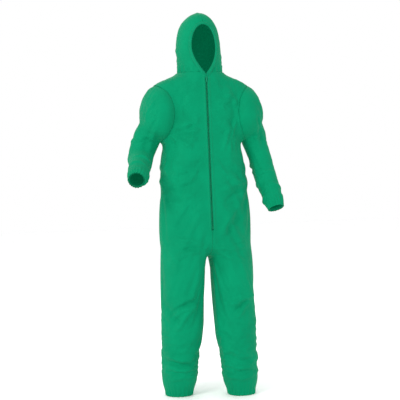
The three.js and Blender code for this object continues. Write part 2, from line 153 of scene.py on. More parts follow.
class CoverallSizes(bpy.types.PropertyGroup):
    """Sizes of the cloth work"""

    cloth: metres("Cloth", "Thickness of the nonwoven cloth", 0.0008)
    body_cell: metres("Body mesh", "Spacing of the body's mesh before it is refined", 0.011)
    sleeve_cell: metres("Sleeve mesh", "Spacing of a sleeve's mesh before it is refined", 0.009)
    slack: bpy.props.FloatProperty(
        name="Slack", description="Share by which the cloth is cut longer than the body", default=0.05
    )
    cap: metres("Sag limit", "Furthest that the draped cloth moves", 0.020)
    gather: metres("Gathers", "Depth of the gathers at cuffs and ankles", 0.0028)
    folds: bpy.props.FloatProperty(
        name="Folds", description="Share by which the deliberate folds are raised", default=1.5
    )
    hem_width: metres("Hood hem", "Width of the hood's elastic hem", 0.013)
    tooth_pitch: metres("Coil pitch", "Distance from one turn of the zip's coil to the next", 0.0016)


class CoverallColours(bpy.types.PropertyGroup):
    """Colours of the coverall, as linear light"""

    cloth: colour("Cloth", "Nonwoven cloth", (0.0, 0.179, 0.0815, 1))
    cloth_worn: colour("Cloth, paler", "Cloth where its fibres lie thin", (0.0, 0.201, 0.0923, 1))
    elastic: colour("Elastic", "Covered elastic", (0.0, 0.190, 0.090, 1))
    tape: colour("Zip tape", "Woven zip tape", (0.0, 0.235, 0.110, 1))
    coil: colour("Zip coil", "Nylon coil", (0.0, 0.250, 0.118, 1))
    metal: colour("Zip hardware", "Painted slider and stops", (0.0, 0.200, 0.095, 1))
    thread: colour("Thread", "Overlock thread of the seams", (0.0, 0.215, 0.100, 1))


def sizes():
    return bpy.context.scene.coverall_sizes


def colours():
    return bpy.context.scene.coverall_colours


# ------------------------------------------------------------------ shader maths


class Value:
    """A socket that takes part in Python expressions."""

    def __init__(self, shader, socket):
        self.shader = shader
        self.socket = socket

    def _math(self, operation, first, second):
        return self.shader.node("ShaderNodeMath", {"operation": operation}, {0: first, 1: second})[0]

    def __add__(self, other):
        return self._math("ADD", self, other)

    def __radd__(self, other):
        return self._math("ADD", other, self)

    def __sub__(self, other):
        return self._math("SUBTRACT", self, other)

    def __rsub__(self, other):
        return self._math("SUBTRACT", other, self)

    def __mul__(self, other):
        return self._math("MULTIPLY", self, other)

    def sine(self):
        return self.shader.node("ShaderNodeMath", {"operation": "SINE"}, {0: self})[0]


class Shader:
    """One material's nodes."""

    def __init__(self, name):
        self.material = bpy.data.materials.new(name)
        self.material.use_nodes = True
        self.tree = self.material.node_tree
        self.surface = self.tree.nodes["Principled BSDF"]

    def node(self, kind, settings=None, values=None):
        made = self.tree.nodes.new(kind)
        for key, value in (settings or {}).items():
            setattr(made, key, value)
        for key, value in (values or {}).items():
            self.feed(made.inputs[key], value)
        return [Value(self, socket) for socket in made.outputs if socket.enabled]

    def feed(self, socket, value):
        if isinstance(value, Value):
            self.tree.links.new(value.socket, socket)
        else:
            socket.default_value = value

    def place(self, stretch=(1, 1, 1)):
        coordinates = self.tree.nodes.new("ShaderNodeTexCoord")
        spot = Value(self, coordinates.outputs["Object"])
        return self.node("ShaderNodeMapping", None, {"Vector": spot, "Scale": stretch})[0]

    def noise(self, place, scale, detail=2.0, roughness=0.5):
        settings = {"noise_dimensions": "3D"}
        values = {"Vector": place, "Scale": scale, "Detail": detail, "Roughness": roughness}
        return self.node("ShaderNodeTexNoise", settings, values)[0]

    def ramp(self, value, low, high):
        settings = {"interpolation_type": "SMOOTHSTEP"}
        values = {"Value": value, "From Min": low, "From Max": high}
        return self.node("ShaderNodeMapRange", settings, values)[0]

    def mix(self, share, first, second):
        settings = {"data_type": "RGBA"}
        values = {0: share, 6: first, 7: second}
        return self.node("ShaderNodeMix", settings, values)[0]

    def bump(self, height, distance, strength=1.0):
        values = {"Height": height, "Distance": distance, "Strength": strength}
        return self.node("ShaderNodeBump", None, values)[0]

    def finish(self, **inputs):
        for key, value in inputs.items():
            self.feed(self.surface.inputs[key.replace("_", " ")], value)
        return self.material


def cloth_material():
    """Thermally bonded nonwoven: fine fibres, a faint bond pattern and soft cloudiness."""
    shader = Shader("nonwoven_cloth")
    place = shader.place()
    clouds = shader.noise(place, 9.0, 3.0)
    fibres = shader.noise(shader.place((1, 1, 0.35)), 620.0, 3.0, 0.62)
    cross = shader.noise(shader.place((0.35, 0.35, 1)), 620.0, 2.0, 0.6)
    dots = shader.node(
        "ShaderNodeTexVoronoi", {"feature": "F1"}, {"Vector": place, "Scale": 420.0, "Randomness": 0.35}
    )[0]
    bond = 1 - shader.ramp(dots, 0.10, 0.42)
    crumple = shader.noise(place, 46.0, 3.0, 0.55)
    thin = shader.ramp(clouds * 0.7 + fibres * 0.3, 0.36, 0.66)
    base = shader.mix(thin, colours().cloth, colours().cloth_worn)
    height = fibres * 0.4 + cross * 0.3 + crumple * 1.6 - bond * 0.35
    return shader.finish(
        Base_Color=base,
        # painted glow: an even emission, standing in for light that the thin cloth lets through
        Emission_Color=base,
        Emission_Strength=0.35,
        Roughness=shader.ramp(fibres, 0.1, 1.2) * 0.25 + 0.60,
        Normal=shader.bump(height, 0.0009, 0.8),
        Sheen_Weight=0.02,
        Sheen_Roughness=0.5,
        Specular_IOR_Level=0.04,
    )


def elastic_material():
    """Cloth gathered over elastic: the same fibres with ribs across them."""
    shader = Shader("gathered_elastic")
    place = shader.place()
    fibres = shader.noise(place, 700.0, 3.0, 0.6)
    worn = shader.ramp(shader.noise(place, 30.0), 0.35, 0.7)
    base = shader.mix(worn, colours().elastic, colours().cloth)
    return shader.finish(
        Base_Color=base,
        # painted glow: an even emission, standing in for light that the thin cloth lets through
        Emission_Color=base,
        Emission_Strength=0.3,
        Roughness=fibres * 0.2 + 0.68,
        Normal=shader.bump(fibres, 0.0004, 0.6),
        Sheen_Weight=0.02,
        Specular_IOR_Level=0.08,
    )


def tape_material():
    """Woven tape: two crossed sets of fine ribs along the piece's own UV map."""
    shader = Shader("woven_tape")
    uv = shader.tree.nodes.new("ShaderNodeUVMap")
    weave = Value(shader, uv.outputs[0])
    spots = shader.node("ShaderNodeSeparateXYZ", None, {"Vector": weave})
    warp = (spots[0] * 9000.0).sine()
    weft = (spots[1] * 7000.0).sine()
    weave_height = warp * weft
    base = shader.mix(shader.ramp(weave_height, -0.8, 0.8), colours().coil, colours().tape)
    return shader.finish(
        Base_Color=base,
        Roughness=0.78 + weave_height * 0.08,
        Normal=shader.bump(weave_height, 0.0002, 0.7),
        Sheen_Weight=0.02,
        Specular_IOR_Level=0.1,
    )


def coil_material():
    shader = Shader("nylon_coil")
    worn = shader.ramp(shader.noise(shader.place(), 260.0, 2.0), 0.35, 0.75)
    base = shader.mix(worn, colours().coil, colours().tape)
    return shader.finish(
        Base_Color=base,
        Roughness=worn * 0.18 + 0.34,
        Normal=shader.bump(worn, 0.0001, 0.3),
        Specular_IOR_Level=0.5,
    )


def metal_material():
    """Painted die casting, rubbed paler where it is handled."""
    shader = Shader("painted_metal")
    place = shader.place()
    grain = shader.noise(place, 900.0, 2.0)
    rubbed = shader.ramp(shader.noise(place, 160.0, 3.0, 0.7), 0.56, 0.72)
    base = shader.mix(rubbed * 0.5, colours().metal, (0.01, 0.24, 0.12, 1))
    return shader.finish(
        Base_Color=base,
        Metallic=rubbed * 0.15,
        Roughness=0.52 - rubbed * 0.12,
        Normal=shader.bump(grain, 0.00005, 0.4),
        Specular_IOR_Level=0.2,
    )


def thread_material():
    shader = Shader("overlock_thread")
    twist = shader.noise(shader.place((1, 1, 0.4)), 1500.0, 1.0)
    base = shader.mix(twist, colours().thread, colours().cloth_worn)
    return shader.finish(
        Base_Color=base, Roughness=twist * 0.2 + 0.5, Normal=shader.bump(twist, 0.0001, 0.5)
    )


MAKERS = {
    "cloth": cloth_material,
    "elastic": elastic_material,
    "tape": tape_material,
    "coil": coil_material,
    "metal": metal_material,
    "thread": thread_material,
}
MADE = {}


def finish_of(name):
    if name not in MADE:
        MADE[name] = MAKERS[name]()
    return MADE[name]


# ------------------------------------------------------------------ mesh tools


def smooth_rows(rows, count):
    """Rows spaced evenly by their first value, along a smooth line through the given ones."""
    table = np.array(rows, float)
    at = table[:, 0]
    step = np.diff(at)[:, None]
    rise = np.diff(table[:, 1:], axis=0) / step
    slope = np.zeros_like(table[:, 1:])
    same = rise[:-1] * rise[1:] > 0
    slope[1:-1] = np.where(same, 2 * rise[:-1] * rise[1:] / (rise[:-1] + rise[1:] + 1e-12), 0)
    slope[0], slope[-1] = rise[0], rise[-1]
    wanted = np.linspace(at[0], at[-1], count)
    found = np.clip(np.searchsorted(at, wanted, side="right") - 1, 0, len(at) - 2)
    gap = step[found]
    t = ((wanted - at[found])[:, None]) / gap
    a, b = table[found, 1:], table[found + 1, 1:]
    bend = (2 * t**3 - 3 * t**2 + 1) * a + (t**3 - 2 * t**2 + t) * gap * slope[found]
    bend += (3 * t**2 - 2 * t**3) * b + (t**3 - t**2) * gap * slope[found + 1]
    return [(w, *row) for w, row in zip(wanted, bend)]


def signed_power(value, share):
    return math.copysign(abs(value) ** share, value)


def oval(bm, centre, across, ahead, half_width, half_depth, power=2.0, segments=56):
    """One ring of a lofted surface. Returns its edges."""
    ring = bmesh.ops.create_circle(bm, segments=segments, radius=1.0)["verts"]
    share = 2 / power
    for vert in ring:
        x, y = vert.co.x, vert.co.y
        sideways = signed_power(x, share) * half_width
        forward = signed_power(y, share) * half_depth
        vert.co = centre + across * sideways + ahead * forward
    return list({edge for vert in ring for edge in vert.link_edges})


def loft(rings):
    """A closed tube through rings, each a tuple of oval's arguments."""
    bm = bmesh.new()
    loops = [oval(bm, *ring) for ring in rings]
    for near, far in zip(loops, loops[1:]):
        bmesh.ops.bridge_loops(bm, edges=near + far)
    for end in (loops[0], loops[-1]):
        bmesh.ops.edgeloop_fill(bm, edges=end)
    bmesh.ops.recalc_face_normals(bm, faces=bm.faces)
    return bm


def into_object(bm, name):
    mesh = bpy.data.meshes.new(name)
    bm.to_mesh(mesh)
    bm.free()
    made = bpy.data.objects.new(name, mesh)
    bpy.context.scene.collection.objects.link(made)
    return made


def remove(made):
    mesh = made.data
    bpy.data.objects.remove(made)
    bpy.data.meshes.remove(mesh)


def evaluated_bmesh(made):
    graph = bpy.context.evaluated_depsgraph_get()
    graph.update()
    bm = bmesh.new()
    bm.from_object(made, graph)
    return bm


def relax(bm, verts):
    """Moves each point halfway to the middle of its neighbours."""
    bmesh.ops.smooth_vert(
        bm, verts=verts, factor=0.5, use_axis_x=True, use_axis_y=True, use_axis_z=True
    )


def split_wide_faces(bm):
    bmesh.ops.triangulate(bm, faces=[face for face in bm.faces if len(face.verts) > 4])


def fused(parts, cell, smoothing):
    """One closed skin around overlapping closed parts, as an even mesh of quads."""
    whole = bmesh.new()
    for part in parts:
        mesh = bpy.data.meshes.new("part")
        part.to_mesh(mesh)
        part.free()
        whole.from_mesh(mesh)
        bpy.data.meshes.remove(mesh)
    made = into_object(whole, "fused")
    skin = made.modifiers.new("Skin", "REMESH")
    skin.mode = "VOXEL"
    skin.voxel_size = cell
    bm = evaluated_bmesh(made)
    remove(made)
    for _ in range(smoothing):
        relax(bm, bm.verts)
    return bm


def coordinates(bm):
    return np.array([vert.co for vert in bm.verts], float).reshape(-1, 3)


def normals(bm):
    bm.normal_update()
    return np.array([vert.normal for vert in bm.verts], float).reshape(-1, 3)


def move_to(bm, points):
    for vert, point in zip(bm.verts, points):
        vert.co = point
    bm.normal_update()


def cut(bm, point, normal, only=None, clear=False):
    """Cuts the mesh, or only some faces, with a plane; clear drops the side that normal points to."""
    faces = list(bm.faces) if only is None else only
    edges = list({edge for face in faces for edge in face.edges})
    verts = list({vert for face in faces for vert in face.verts})
    return bmesh.ops.bisect_plane(
        bm, geom=faces + edges + verts, dist=1e-5, plane_co=point, plane_no=normal, clear_outer=clear
    )


def drop_faces(bm, test):
    bmesh.ops.delete(bm, geom=[f for f in bm.faces if test(f)], context="FACES")
    loose = [v for v in bm.verts if not v.link_faces]
    bmesh.ops.delete(bm, geom=loose, context="VERTS")


def refined(bm):
    """One Catmull-Clark subdivision, which rounds the open edges too."""
    made = into_object(bm, "refined")
    finer = made.modifiers.new("Finer", "SUBSURF")
    finer.levels = finer.render_levels = 1
    finer.boundary_smooth = "ALL"
    out = evaluated_bmesh(made)
    remove(made)
    return out


def ridge_along(co, normal, points, width, height, facing=None):
    """How far each point moves for a fold along a line: out where height is positive."""
    line = np.array(points, float)
    best = np.full(len(co), np.inf)
    along = np.zeros(len(co))
    total = np.linalg.norm(np.diff(line, axis=0), axis=1)
    start = np.concatenate([[0], np.cumsum(total)])
    flat = line.shape[1] == 2
    spots = co[:, [0, 2]] if flat else co
    for index, length in enumerate(total):
        step = (line[index + 1] - line[index]) / length
        reach = np.clip((spots - line[index]) @ step, 0, length)
        gap = np.linalg.norm(spots - line[index] - reach[:, None] * step, axis=1)
        nearer = gap < best
        best[nearer] = gap[nearer]
        along[nearer] = (start[index] + reach[nearer]) / start[-1]
    taper = np.clip(4 * along * (1 - along), 0, 1) ** 0.6
    amount = np.exp(-((best / width) ** 2)) * taper * height
    if facing is not None:
        amount = amount * np.clip(normal @ np.array(facing, float) * 2, 0, 1)
    return normal * amount[:, None]


def swell(co, amplitude, scale, seed):
    """Smooth variation set by a seed, one number a point."""
    shift = Vector((seed * 3.1, seed * 1.7, seed * 2.3))
    return amplitude * np.array([noise.noise(Vector(p) * scale + shift) for p in co])


def drape(bm, pinned, core, frames, slack, cap, gravity):
    """Cloth that is cut a little long settles on its core. Returns the new points."""
    rest = coordinates(bm)
    free = (1 - pinned)[:, None]
    mesh = bpy.data.meshes.new("drape")
    bm.to_mesh(mesh)
    made = bpy.data.objects.new("drape", mesh)
    bpy.context.scene.collection.objects.link(made)
    group = made.vertex_groups.new(name="pinned")
    for share in np.unique(np.round(pinned, 1)):
        if share > 0:
            chosen = np.nonzero(np.round(pinned, 1) == share)[0].tolist()
            group.add(chosen, float(share), "REPLACE")
    blocker = bpy.data.objects.new("core", core)
    bpy.context.scene.collection.objects.link(blocker)
    blocker.modifiers.new("Core", "COLLISION")
    blocker.collision.thickness_outer = 0.003
    blocker.collision.cloth_friction = 8
    cloth = made.modifiers.new("Cloth", "CLOTH")
    way = cloth.settings
    way.quality = 5
    way.mass = 0.15
    way.tension_stiffness = 18
    way.compression_stiffness = 18
    way.shear_stiffness = 6
    way.bending_stiffness = 0.5
    way.air_damping = 2.0
    way.shrink_min = -slack
    way.vertex_group_mass = "pinned"
    way.pin_stiffness = 4.0
    way.effector_weights.gravity = gravity
    cloth.collision_settings.use_collision = True
    cloth.collision_settings.distance_min = 0.004
    cloth.point_cache.frame_start = 1
    cloth.point_cache.frame_end = frames
    scene = bpy.context.scene
    for number in range(1, frames + 1):
        scene.frame_set(number)
    graph = bpy.context.evaluated_depsgraph_get()
    out = made.evaluated_get(graph).to_mesh()
    points = np.zeros(len(out.vertices) * 3)
    out.vertices.foreach_get("co", points)
    made.evaluated_get(graph).to_mesh_clear()
    scene.frame_set(1)
    remove(made)
    remove(blocker)
    moved = np.nan_to_num(points.reshape(-1, 3) - rest)
    length = np.linalg.norm(moved, axis=1, keepdims=True) + 1e-9
    return rest + moved / length * cap * np.tanh(length / cap) * free


def piece(bm, name, finish, node, thick, body=None):
    """The finished object: smooth faces, its material, its thickness if it is a sheet, its body."""
    for face in bm.faces:
        face.smooth = True
    made = into_object(bm, name)
    made.data.materials.append(finish_of(finish))
    if thick:
        wall = made.modifiers.new("Thickness", "SOLIDIFY")
        wall.thickness = thick
        wall.offset = -1
        wall.use_rim = True
    if node:
        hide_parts(node)
    if body:
        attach(made, body)
    return made


def share_of(bm, test):
    """A new mesh of only the faces that pass the test."""
    out = bm.copy()
    drop_faces(out, lambda face: not test(face.calc_center_median()))
    return out


def copies(bead, moves):
    """A mesh of copies of a small one, each turned and then moved as its pair in moves says."""
    mesh = bpy.data.meshes.new("bead")
    bead.to_mesh(mesh)
    bead.free()
    bm = bmesh.new()
    for turn, spot in moves:
        before = len(bm.verts)
        bm.from_mesh(mesh)
        bm.verts.ensure_lookup_table()
        made = bm.verts[before:]
        if turn is not None:
            bmesh.ops.rotate(bm, cent=(0, 0, 0), matrix=turn, verts=made)
        bmesh.ops.translate(bm, vec=spot, verts=made)
    bpy.data.meshes.remove(mesh)
    return bm


# ------------------------------------------------------------------ the body

SLOT_HALF = 0.0056
SLOT_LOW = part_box("zip_tape_right")[0].z - 0.004
# The cloth beside the zip: distance from the middle, and how far it stands out there
ZIP_EDGE = [
    (SLOT_HALF, -0.0006), (0.0074, 0.0018), (0.0098, 0.0028), (0.0130, 0.0020), (0.0170, 0.0004),
]
# Topstitching beside the zip: half sizes of a stitch, their pitch, and distance from the middle
STITCH = (0.00028, 0.00028, 0.0012)
STITCH_PITCH = 0.0034
STITCH_LINE = 0.0148

# Folds spread in fans. Each row: where the fan starts (x, z), the way it runs in degrees for
# each of its folds (0 is to the wearer's left, 90 is up), their length, half width and height.
FRONT_FANS = [
    # right armpit across the chest
    ((-0.20, ARMHOLE.z - 0.06), (8, -8, -24, -40), 0.16, 0.012, 0.007),
    ((-0.20, ARMHOLE.z - 0.08), (4, -12), 0.15, 0.009, -0.005),
    # fullness above the waist
    ((-0.19, -0.41), (-18,), 0.14, 0.045, 0.010),
    # left side of the chest
    ((0.17, ARMHOLE.z + 0.02), (145, 165), 0.12, 0.012, 0.006),
    ((0.14, ARMHOLE.z - 0.04), (-104, -118), 0.16, 0.010, 0.006),
    ((0.13, ARMHOLE.z - 0.02), (-96,), 0.16, 0.009, -0.005),
    # both sides of the waist
    ((-0.23, WAIST + 0.03), (-2, -32), 0.15, 0.014, -0.006),
    ((-0.23, WAIST), (-8,), 0.16, 0.014, 0.006),
    ((0.20, WAIST + 0.04), (-162,), 0.16, 0.014, 0.006),
    ((0.20, WAIST + 0.01), (-155,), 0.15, 0.012, -0.006),
    # from the left hip down to the crotch
    ((0.15, WAIST - 0.06), (-126,), 0.20, 0.013, 0.007),
    ((0.17, WAIST - 0.10), (-130,), 0.18, 0.012, -0.004),
    # crotch
    ((0.00, CROTCH + 0.035), (10, 0, -25), 0.17, 0.011, 0.006),
    ((0.01, CROTCH + 0.040), (5,), 0.15, 0.009, -0.005),
    ((-0.02, CROTCH + 0.030), (165, 198), 0.19, 0.012, 0.006),
    ((-0.02, CROTCH + 0.022), (182,), 0.16, 0.010, -0.005),
    # right knee
    ((-0.08, KNEE + 0.03), (-151,), 0.12, 0.013, 0.007),
    ((-0.08, KNEE - 0.01), (-151, -128), 0.15, 0.013, 0.008),
    ((-0.09, KNEE + 0.01), (-149,), 0.13, 0.010, -0.006),
    ((-0.23, KNEE + 0.01), (-52,), 0.14, 0.012, -0.005),
    # left knee
    ((0.20, KNEE + 0.02), (-161, -135), 0.15, 0.012, 0.007),
    ((0.20, KNEE + 0.01), (-149,), 0.14, 0.010, -0.007),
    ((0.04, KNEE + 0.02), (-27,), 0.09, 0.011, 0.005),
    # right ankle
    ((-0.22, HEM + 0.20), (-12,), 0.13, 0.012, 0.007),
    ((-0.22, HEM + 0.14), (-3,), 0.13, 0.011, 0.007),
    ((-0.22, HEM + 0.17), (-8,), 0.13, 0.010, -0.006),
    ((-0.08, HEM + 0.09), (-176,), 0.13, 0.010, 0.006),
    # left ankle
    ((0.05, HEM + 0.23), (-24,), 0.13, 0.012, 0.007),
    ((0.04, HEM + 0.15), (-6,), 0.13, 0.011, 0.007),
    ((0.05, HEM + 0.19), (-16,), 0.12, 0.010, -0.006),
    ((0.05, HEM + 0.09), (2,), 0.13, 0.010, 0.006),
]
# Fans of the back's left half; the right half has the same ones mirrored
BACK_FANS = [
    ((0.18, ARMHOLE.z - 0.06), (158,), 0.16, 0.013, 0.007),
    ((0.18, ARMHOLE.z - 0.11), (-145,), 0.16, 0.014, 0.007),
    ((0.01, CROTCH + 0.035), (24, -30), 0.17, 0.013, 0.007),
    ((0.20, KNEE), (176, -172), 0.13, 0.013, 0.008),
    ((0.19, KNEE - 0.045), (178,), 0.13, 0.012, 0.007),
    ((0.19, HEM + 0.16), (180,), 0.12, 0.011, 0.007),
    ((0.19, HEM + 0.10), (180,), 0.12, 0.010, 0.006),
]


def fan_lines(fan, mirror=1):
    """The folds of a fan: each a bowed line of three points, with its half width and height."""
    (x, z), ways, length, width, height = fan
    lines = []
    for way in ways:
        turn = math.radians(way)
        run = np.array((math.cos(turn), math.sin(turn))) * length
        bow = np.array((-run[1], run[0])) * 0.08
        start = np.array((x, z))
        points = np.array((start, start + run / 2 - bow, start + run)) * (mirror, 1)
        lines.append((points, width, height))
    return lines


def torso_ring(row):
    height, half, front, back, power = row
    centre = Vector((0, (front + back) / 2, height)) * MM
    return (centre, ACROSS, BACKWARD, half * MM, (back - front) / 2 * MM, power)


def leg_middle(name, height):
    """Middle of a leg at a height above the hem, in mm."""
    spread, forward = LEG_STANCE[name]
    down = 1 - min(height, INSIDE_LEG) / INSIDE_LEG
    return SIDES[name] * (114 + spread * down), -34 + forward * down


def leg_ring(name, row):
    height, half_width, half_depth = row
    x, y = leg_middle(name, height)
    centre = Vector((x * MM, y * MM, HEM + height * MM))
    return (centre, ACROSS, BACKWARD, half_width * MM, half_depth * MM, 2.0, 44)


def seam_y(name, z):
    """Where the side seam lies, front to back, at a height."""
    hem_y = leg_middle(name, 0)[1] * MM
    hip_y = leg_middle(name, INSIDE_LEG)[1] * MM
    return float(np.interp(z, [HEM, CROTCH, ARMHOLE.z], [hem_y, hip_y, ARMHOLE.y]))


def head_middle(name):
    return Vector((SIDES[name] * ARMHOLE.x, ARMHOLE.y, ARMHOLE.z))


def in_head(name, point):
    """How far out a point lies in units of the sleeve head: 1 is on it."""
    gap = point - head_middle(name)
    return math.sqrt(sum((gap[i] / HEAD[i]) ** 2 for i in range(3)))


def past_head(name, co):
    """The same for many points, with 0 on the head."""
    return np.array([in_head(name, Vector(point)) for point in co]) - 1


def onto_head(name, point, target, grow):
    """The nearest point of the body's skin that stands just clear of the sleeve head."""
    middle = head_middle(name)
    for _ in range(14):
        point, normal, _, _ = target.find_nearest(point)
        gap = point - middle
        slope = Vector([gap[i] / (HEAD[i] + grow) ** 2 for i in range(3)])
        level = gap.dot(slope) - 1
        slope = 2 * (slope - normal * slope.dot(normal))
        step = slope * (-level / max(slope.length_squared, 1e-9))
        if step.length > 0.006:
            step = step * (0.006 / step.length)
        point = point + step
    return point


def head_shape(name):
    head = bmesh.new()
    shape = Matrix.Translation(head_middle(name)) @ Matrix.Diagonal((*HEAD, 1))
    bmesh.ops.create_uvsphere(head, u_segments=64, v_segments=40, radius=1.0, matrix=shape)
    return head


def settle_border(bm):
    """Evens out the mesh just inside the armholes once their edges have moved."""
    for _ in range(3):
        near = []
        for vert in bm.verts:
            beside = any(edge.other_vert(vert).is_boundary for edge in vert.link_edges)
            if beside and not vert.is_boundary and abs(vert.co.x) > 0.1 and -0.4 < vert.co.z < -0.01:
                near.append(vert)
        relax(bm, near)


def base_body():
    """The skin of body and legs, open at the neck, the ankles and both armholes."""
    parts = [loft([torso_ring(row) for row in smooth_rows(TORSO, 84)])]
    for name in SIDES:
        parts.append(loft([leg_ring(name, row) for row in smooth_rows(LEG, 64)]))
        parts.append(head_shape(name))
    bm = fused(parts, sizes().body_cell, 9)
    target = BVHTree.FromBMesh(bm)
    cut(bm, (0, 0, NECK), (0, 0, 1), clear=True)
    cut(bm, (0, 0, HEM), (0, 0, -1), clear=True)
    for name in SIDES:
        drop_faces(bm, lambda face: in_head(name, face.calc_center_median()) < HEAD_ROOM)
    for vert in bm.verts:
        if vert.is_boundary and HEM + 0.1 < vert.co.z < -0.004:
            name = "right" if vert.co.x < 0 else "left"
            vert.co = onto_head(name, vert.co, target, HEAD_GAP)
    settle_border(bm)
    split_wide_faces(bm)
    return bm


def fall_off(distance, near, far):
    """1 nearer than near, 0 beyond far."""
    return np.clip((far - distance) / (far - near), 0, 1)


def body_pins(co):
    """How firmly each point is held while the cloth settles, from 0 to 1."""
    x, y, z = co.T
    held = {
        "neck": fall_off(np.abs(z), 0.010, 0.04),
        "ankles": fall_off(z - HEM, 0.045, 0.11),
        "zip": fall_off(np.abs(x), 0.020, 0.045) * (y < 0) * (z > SLOT_LOW - 0.02),
        "seat_seam": 0.5 * fall_off(np.abs(x), 0.006, 0.03) * (z < SLOT_LOW),
        "waist_elastic": 0.85 * fall_off(np.abs(z - WAIST), 0.018, 0.035) * (y > -0.02),
        "right_armhole": fall_off(past_head("right", co), 0.05, 0.35),
        "left_armhole": fall_off(past_head("left", co), 0.05, 0.35),
    }
    return np.maximum.reduce(list(held.values()))


def core_of(bm, depth):
    """The wearer's shape, a little inside the cloth."""
    inner = bm.copy()
    move_to(inner, coordinates(inner) - normals(inner) * depth)
    mesh = bpy.data.meshes.new("core")
    inner.to_mesh(mesh)
    inner.free()
    return mesh


def body_folds(bm):
    """Raises the deliberate folds, away from the zip and the armholes."""
    co, normal = coordinates(bm), normals(bm)
    shift = np.zeros_like(co)
    for fan in FRONT_FANS:
        for points, width, height in fan_lines(fan):
            shift += ridge_along(co, normal, points, width, height, (0, -1, 0))
    for fan in BACK_FANS:
        for points, width, height in fan_lines(fan) + fan_lines(fan, -1):
            shift += ridge_along(co, normal, points, width, height, (0, 1, 0))
    # stretched cloth over the waist elastic at the back gathers in short upright pleats
    x, y, z = co.T
    band = np.exp(-(((z - WAIST) / 0.030) ** 2)) * (normal[:, 1] > 0.2)
    girth = np.arctan2(x, y)
    shift += normal * (band * 0.0035 * np.sin(girth * 34 + 2 * np.sin(girth * 5)))[:, None]
    keep = fall_off(np.abs(x), 0.012, 0.03) * (y < 0)
    for name in SIDES:
        keep = np.maximum(keep, fall_off(past_head(name, co), 0.03, 0.12))
    move_to(bm, co + shift * (1 - keep)[:, None] * sizes().folds)


def near_front(bm, width):
    """Faces beside the zip."""
    found = []
    for face in bm.faces:
        middle = face.calc_center_median()
        if abs(middle.x) < width and middle.y < 0 and middle.z > SLOT_LOW:
            found.append(face)
    return found


def cut_front(bm):
    """Opens the slot of the zip and shapes the folded edges beside it."""
    cut(bm, (0, 0, SLOT_LOW), (0, 0, 1))
    for side in (-1, 1):
        for width, _ in ZIP_EDGE:
            cut(bm, (side * width, 0, 0), (1, 0, 0), only=near_front(bm, 0.03))
    inside = set(near_front(bm, SLOT_HALF))
    drop_faces(bm, lambda face: face in inside)
    cut(bm, (0, 0, 0), (1, 0, 0))
    co, normal = coordinates(bm), normals(bm)
    x, y, z = co.T
    widths = [0.0, *(row[0] for row in ZIP_EDGE), 0.024]
    heights = [-0.002, *(row[1] for row in ZIP_EDGE), 0.0]
    rise = np.interp(np.abs(x), widths, heights) * (normal[:, 1] < -0.3) * (z > SLOT_LOW - 0.001)
    rise *= 1 + 0.25 * np.sin(z * 190) * np.sin(z * 61)
    seam = (np.abs(x) < 0.02) * (z < SLOT_LOW - 0.001)
    rise += seam * np.interp(np.abs(x), [0, 0.003, 0.008, 0.02], [-0.0015, 0.0008, 0.0006, 0])
    move_to(bm, co + normal * rise[:, None])


def stitch_row(spots):
    """A row of short raised stitches, one in each gap between the spots."""
    stitch = bmesh.new()
    shape = Matrix.Diagonal((*STITCH, 1))
    bmesh.ops.create_uvsphere(stitch, u_segments=6, v_segments=4, radius=1.0, matrix=shape)
    moves = []
    for near, far in zip(spots, spots[1:]):
        turn = (far - near).to_track_quat("Z", "Y").to_matrix()
        moves.append((turn, near.lerp(far, 0.5)))
    return copies(stitch, moves)


def zip_stitches(bm, side):
    """Where the topstitching beside the zip lies on the cloth."""
    skin = BVHTree.FromBMesh(bm)
    spots = []
    for height in np.arange(SLOT_LOW, -0.014, STITCH_PITCH):
        start = Vector((side * STITCH_LINE, -0.5, height))
        hit = skin.ray_cast(start, BACKWARD)[0]
        if hit is not None:
            spots.append(hit)
    return spots


def cut_sides(bm):
    """Cuts the mesh along both side seams and presses the seam lines into it."""
    cut(bm, (0, 0, CROTCH), (0, 0, 1))
    cut(bm, (0, 0, ARMHOLE.z), (0, 0, 1))
    spans = [(HEM - 1, CROTCH), (CROTCH, ARMHOLE.z), (ARMHOLE.z, 1)]
    for name, side in SIDES.items():
        for low, high in spans:
            foot, top = max(low, HEM), min(high, 0.1)
            run = Vector((0, seam_y(name, top) - seam_y(name, foot), top - foot))
            normal = Vector((0, run.z, -run.y)).normalized()
            chosen = []
            for face in bm.faces:
                middle = face.calc_center_median()
                if middle.x * side > 0 and low < middle.z < high:
                    chosen.append(face)
            cut(bm, (0, seam_y(name, foot), foot), normal, only=chosen)
    co, normal = coordinates(bm), normals(bm)
    gap = np.array([abs(p[1] - seam_y("right" if p[0] < 0 else "left", p[2])) for p in co])
    gap = np.where(np.abs(normal[:, 1]) < 0.8, gap, 1)
    back = np.where(normal[:, 1] > 0.2, np.abs(co[:, 0]), 1)
    seam = np.minimum(gap, back)
    groove = -0.0011 * np.exp(-((seam / 0.003) ** 2))
    groove += 0.0009 * np.exp(-(((seam - 0.008) / 0.004) ** 2))
    move_to(bm, co + normal * groove[:, None])


def hem_gathers(bm):
    """Pleats that the ankle elastic draws into the lowest part of each leg."""
    low_edges = [e for e in bm.edges if max(v.co.z for v in e.verts) < HEM + 0.085]
    bmesh.ops.subdivide_edges(bm, edges=low_edges, cuts=1, use_grid_fill=True)
    co, normal = coordinates(bm), normals(bm)
    low = fall_off(co[:, 2] - HEM, 0.012, 0.075)
    amount = np.zeros(len(co))
    for name, side in SIDES.items():
        x, y = leg_middle(name, 0)
        angle = np.arctan2(co[:, 1] - y * MM, co[:, 0] - x * MM)
        pleat = 0.5 + 0.5 * np.cos(angle * 24 + 1.6 * np.sin(angle * 5 + side))
        amount += np.where(co[:, 0] * side > 0, pleat, 0)
    flat = normal * (1, 1, 0.2)
    move_to(bm, co + flat * (amount * low**1.2 * sizes().gather * 1.5)[:, None])


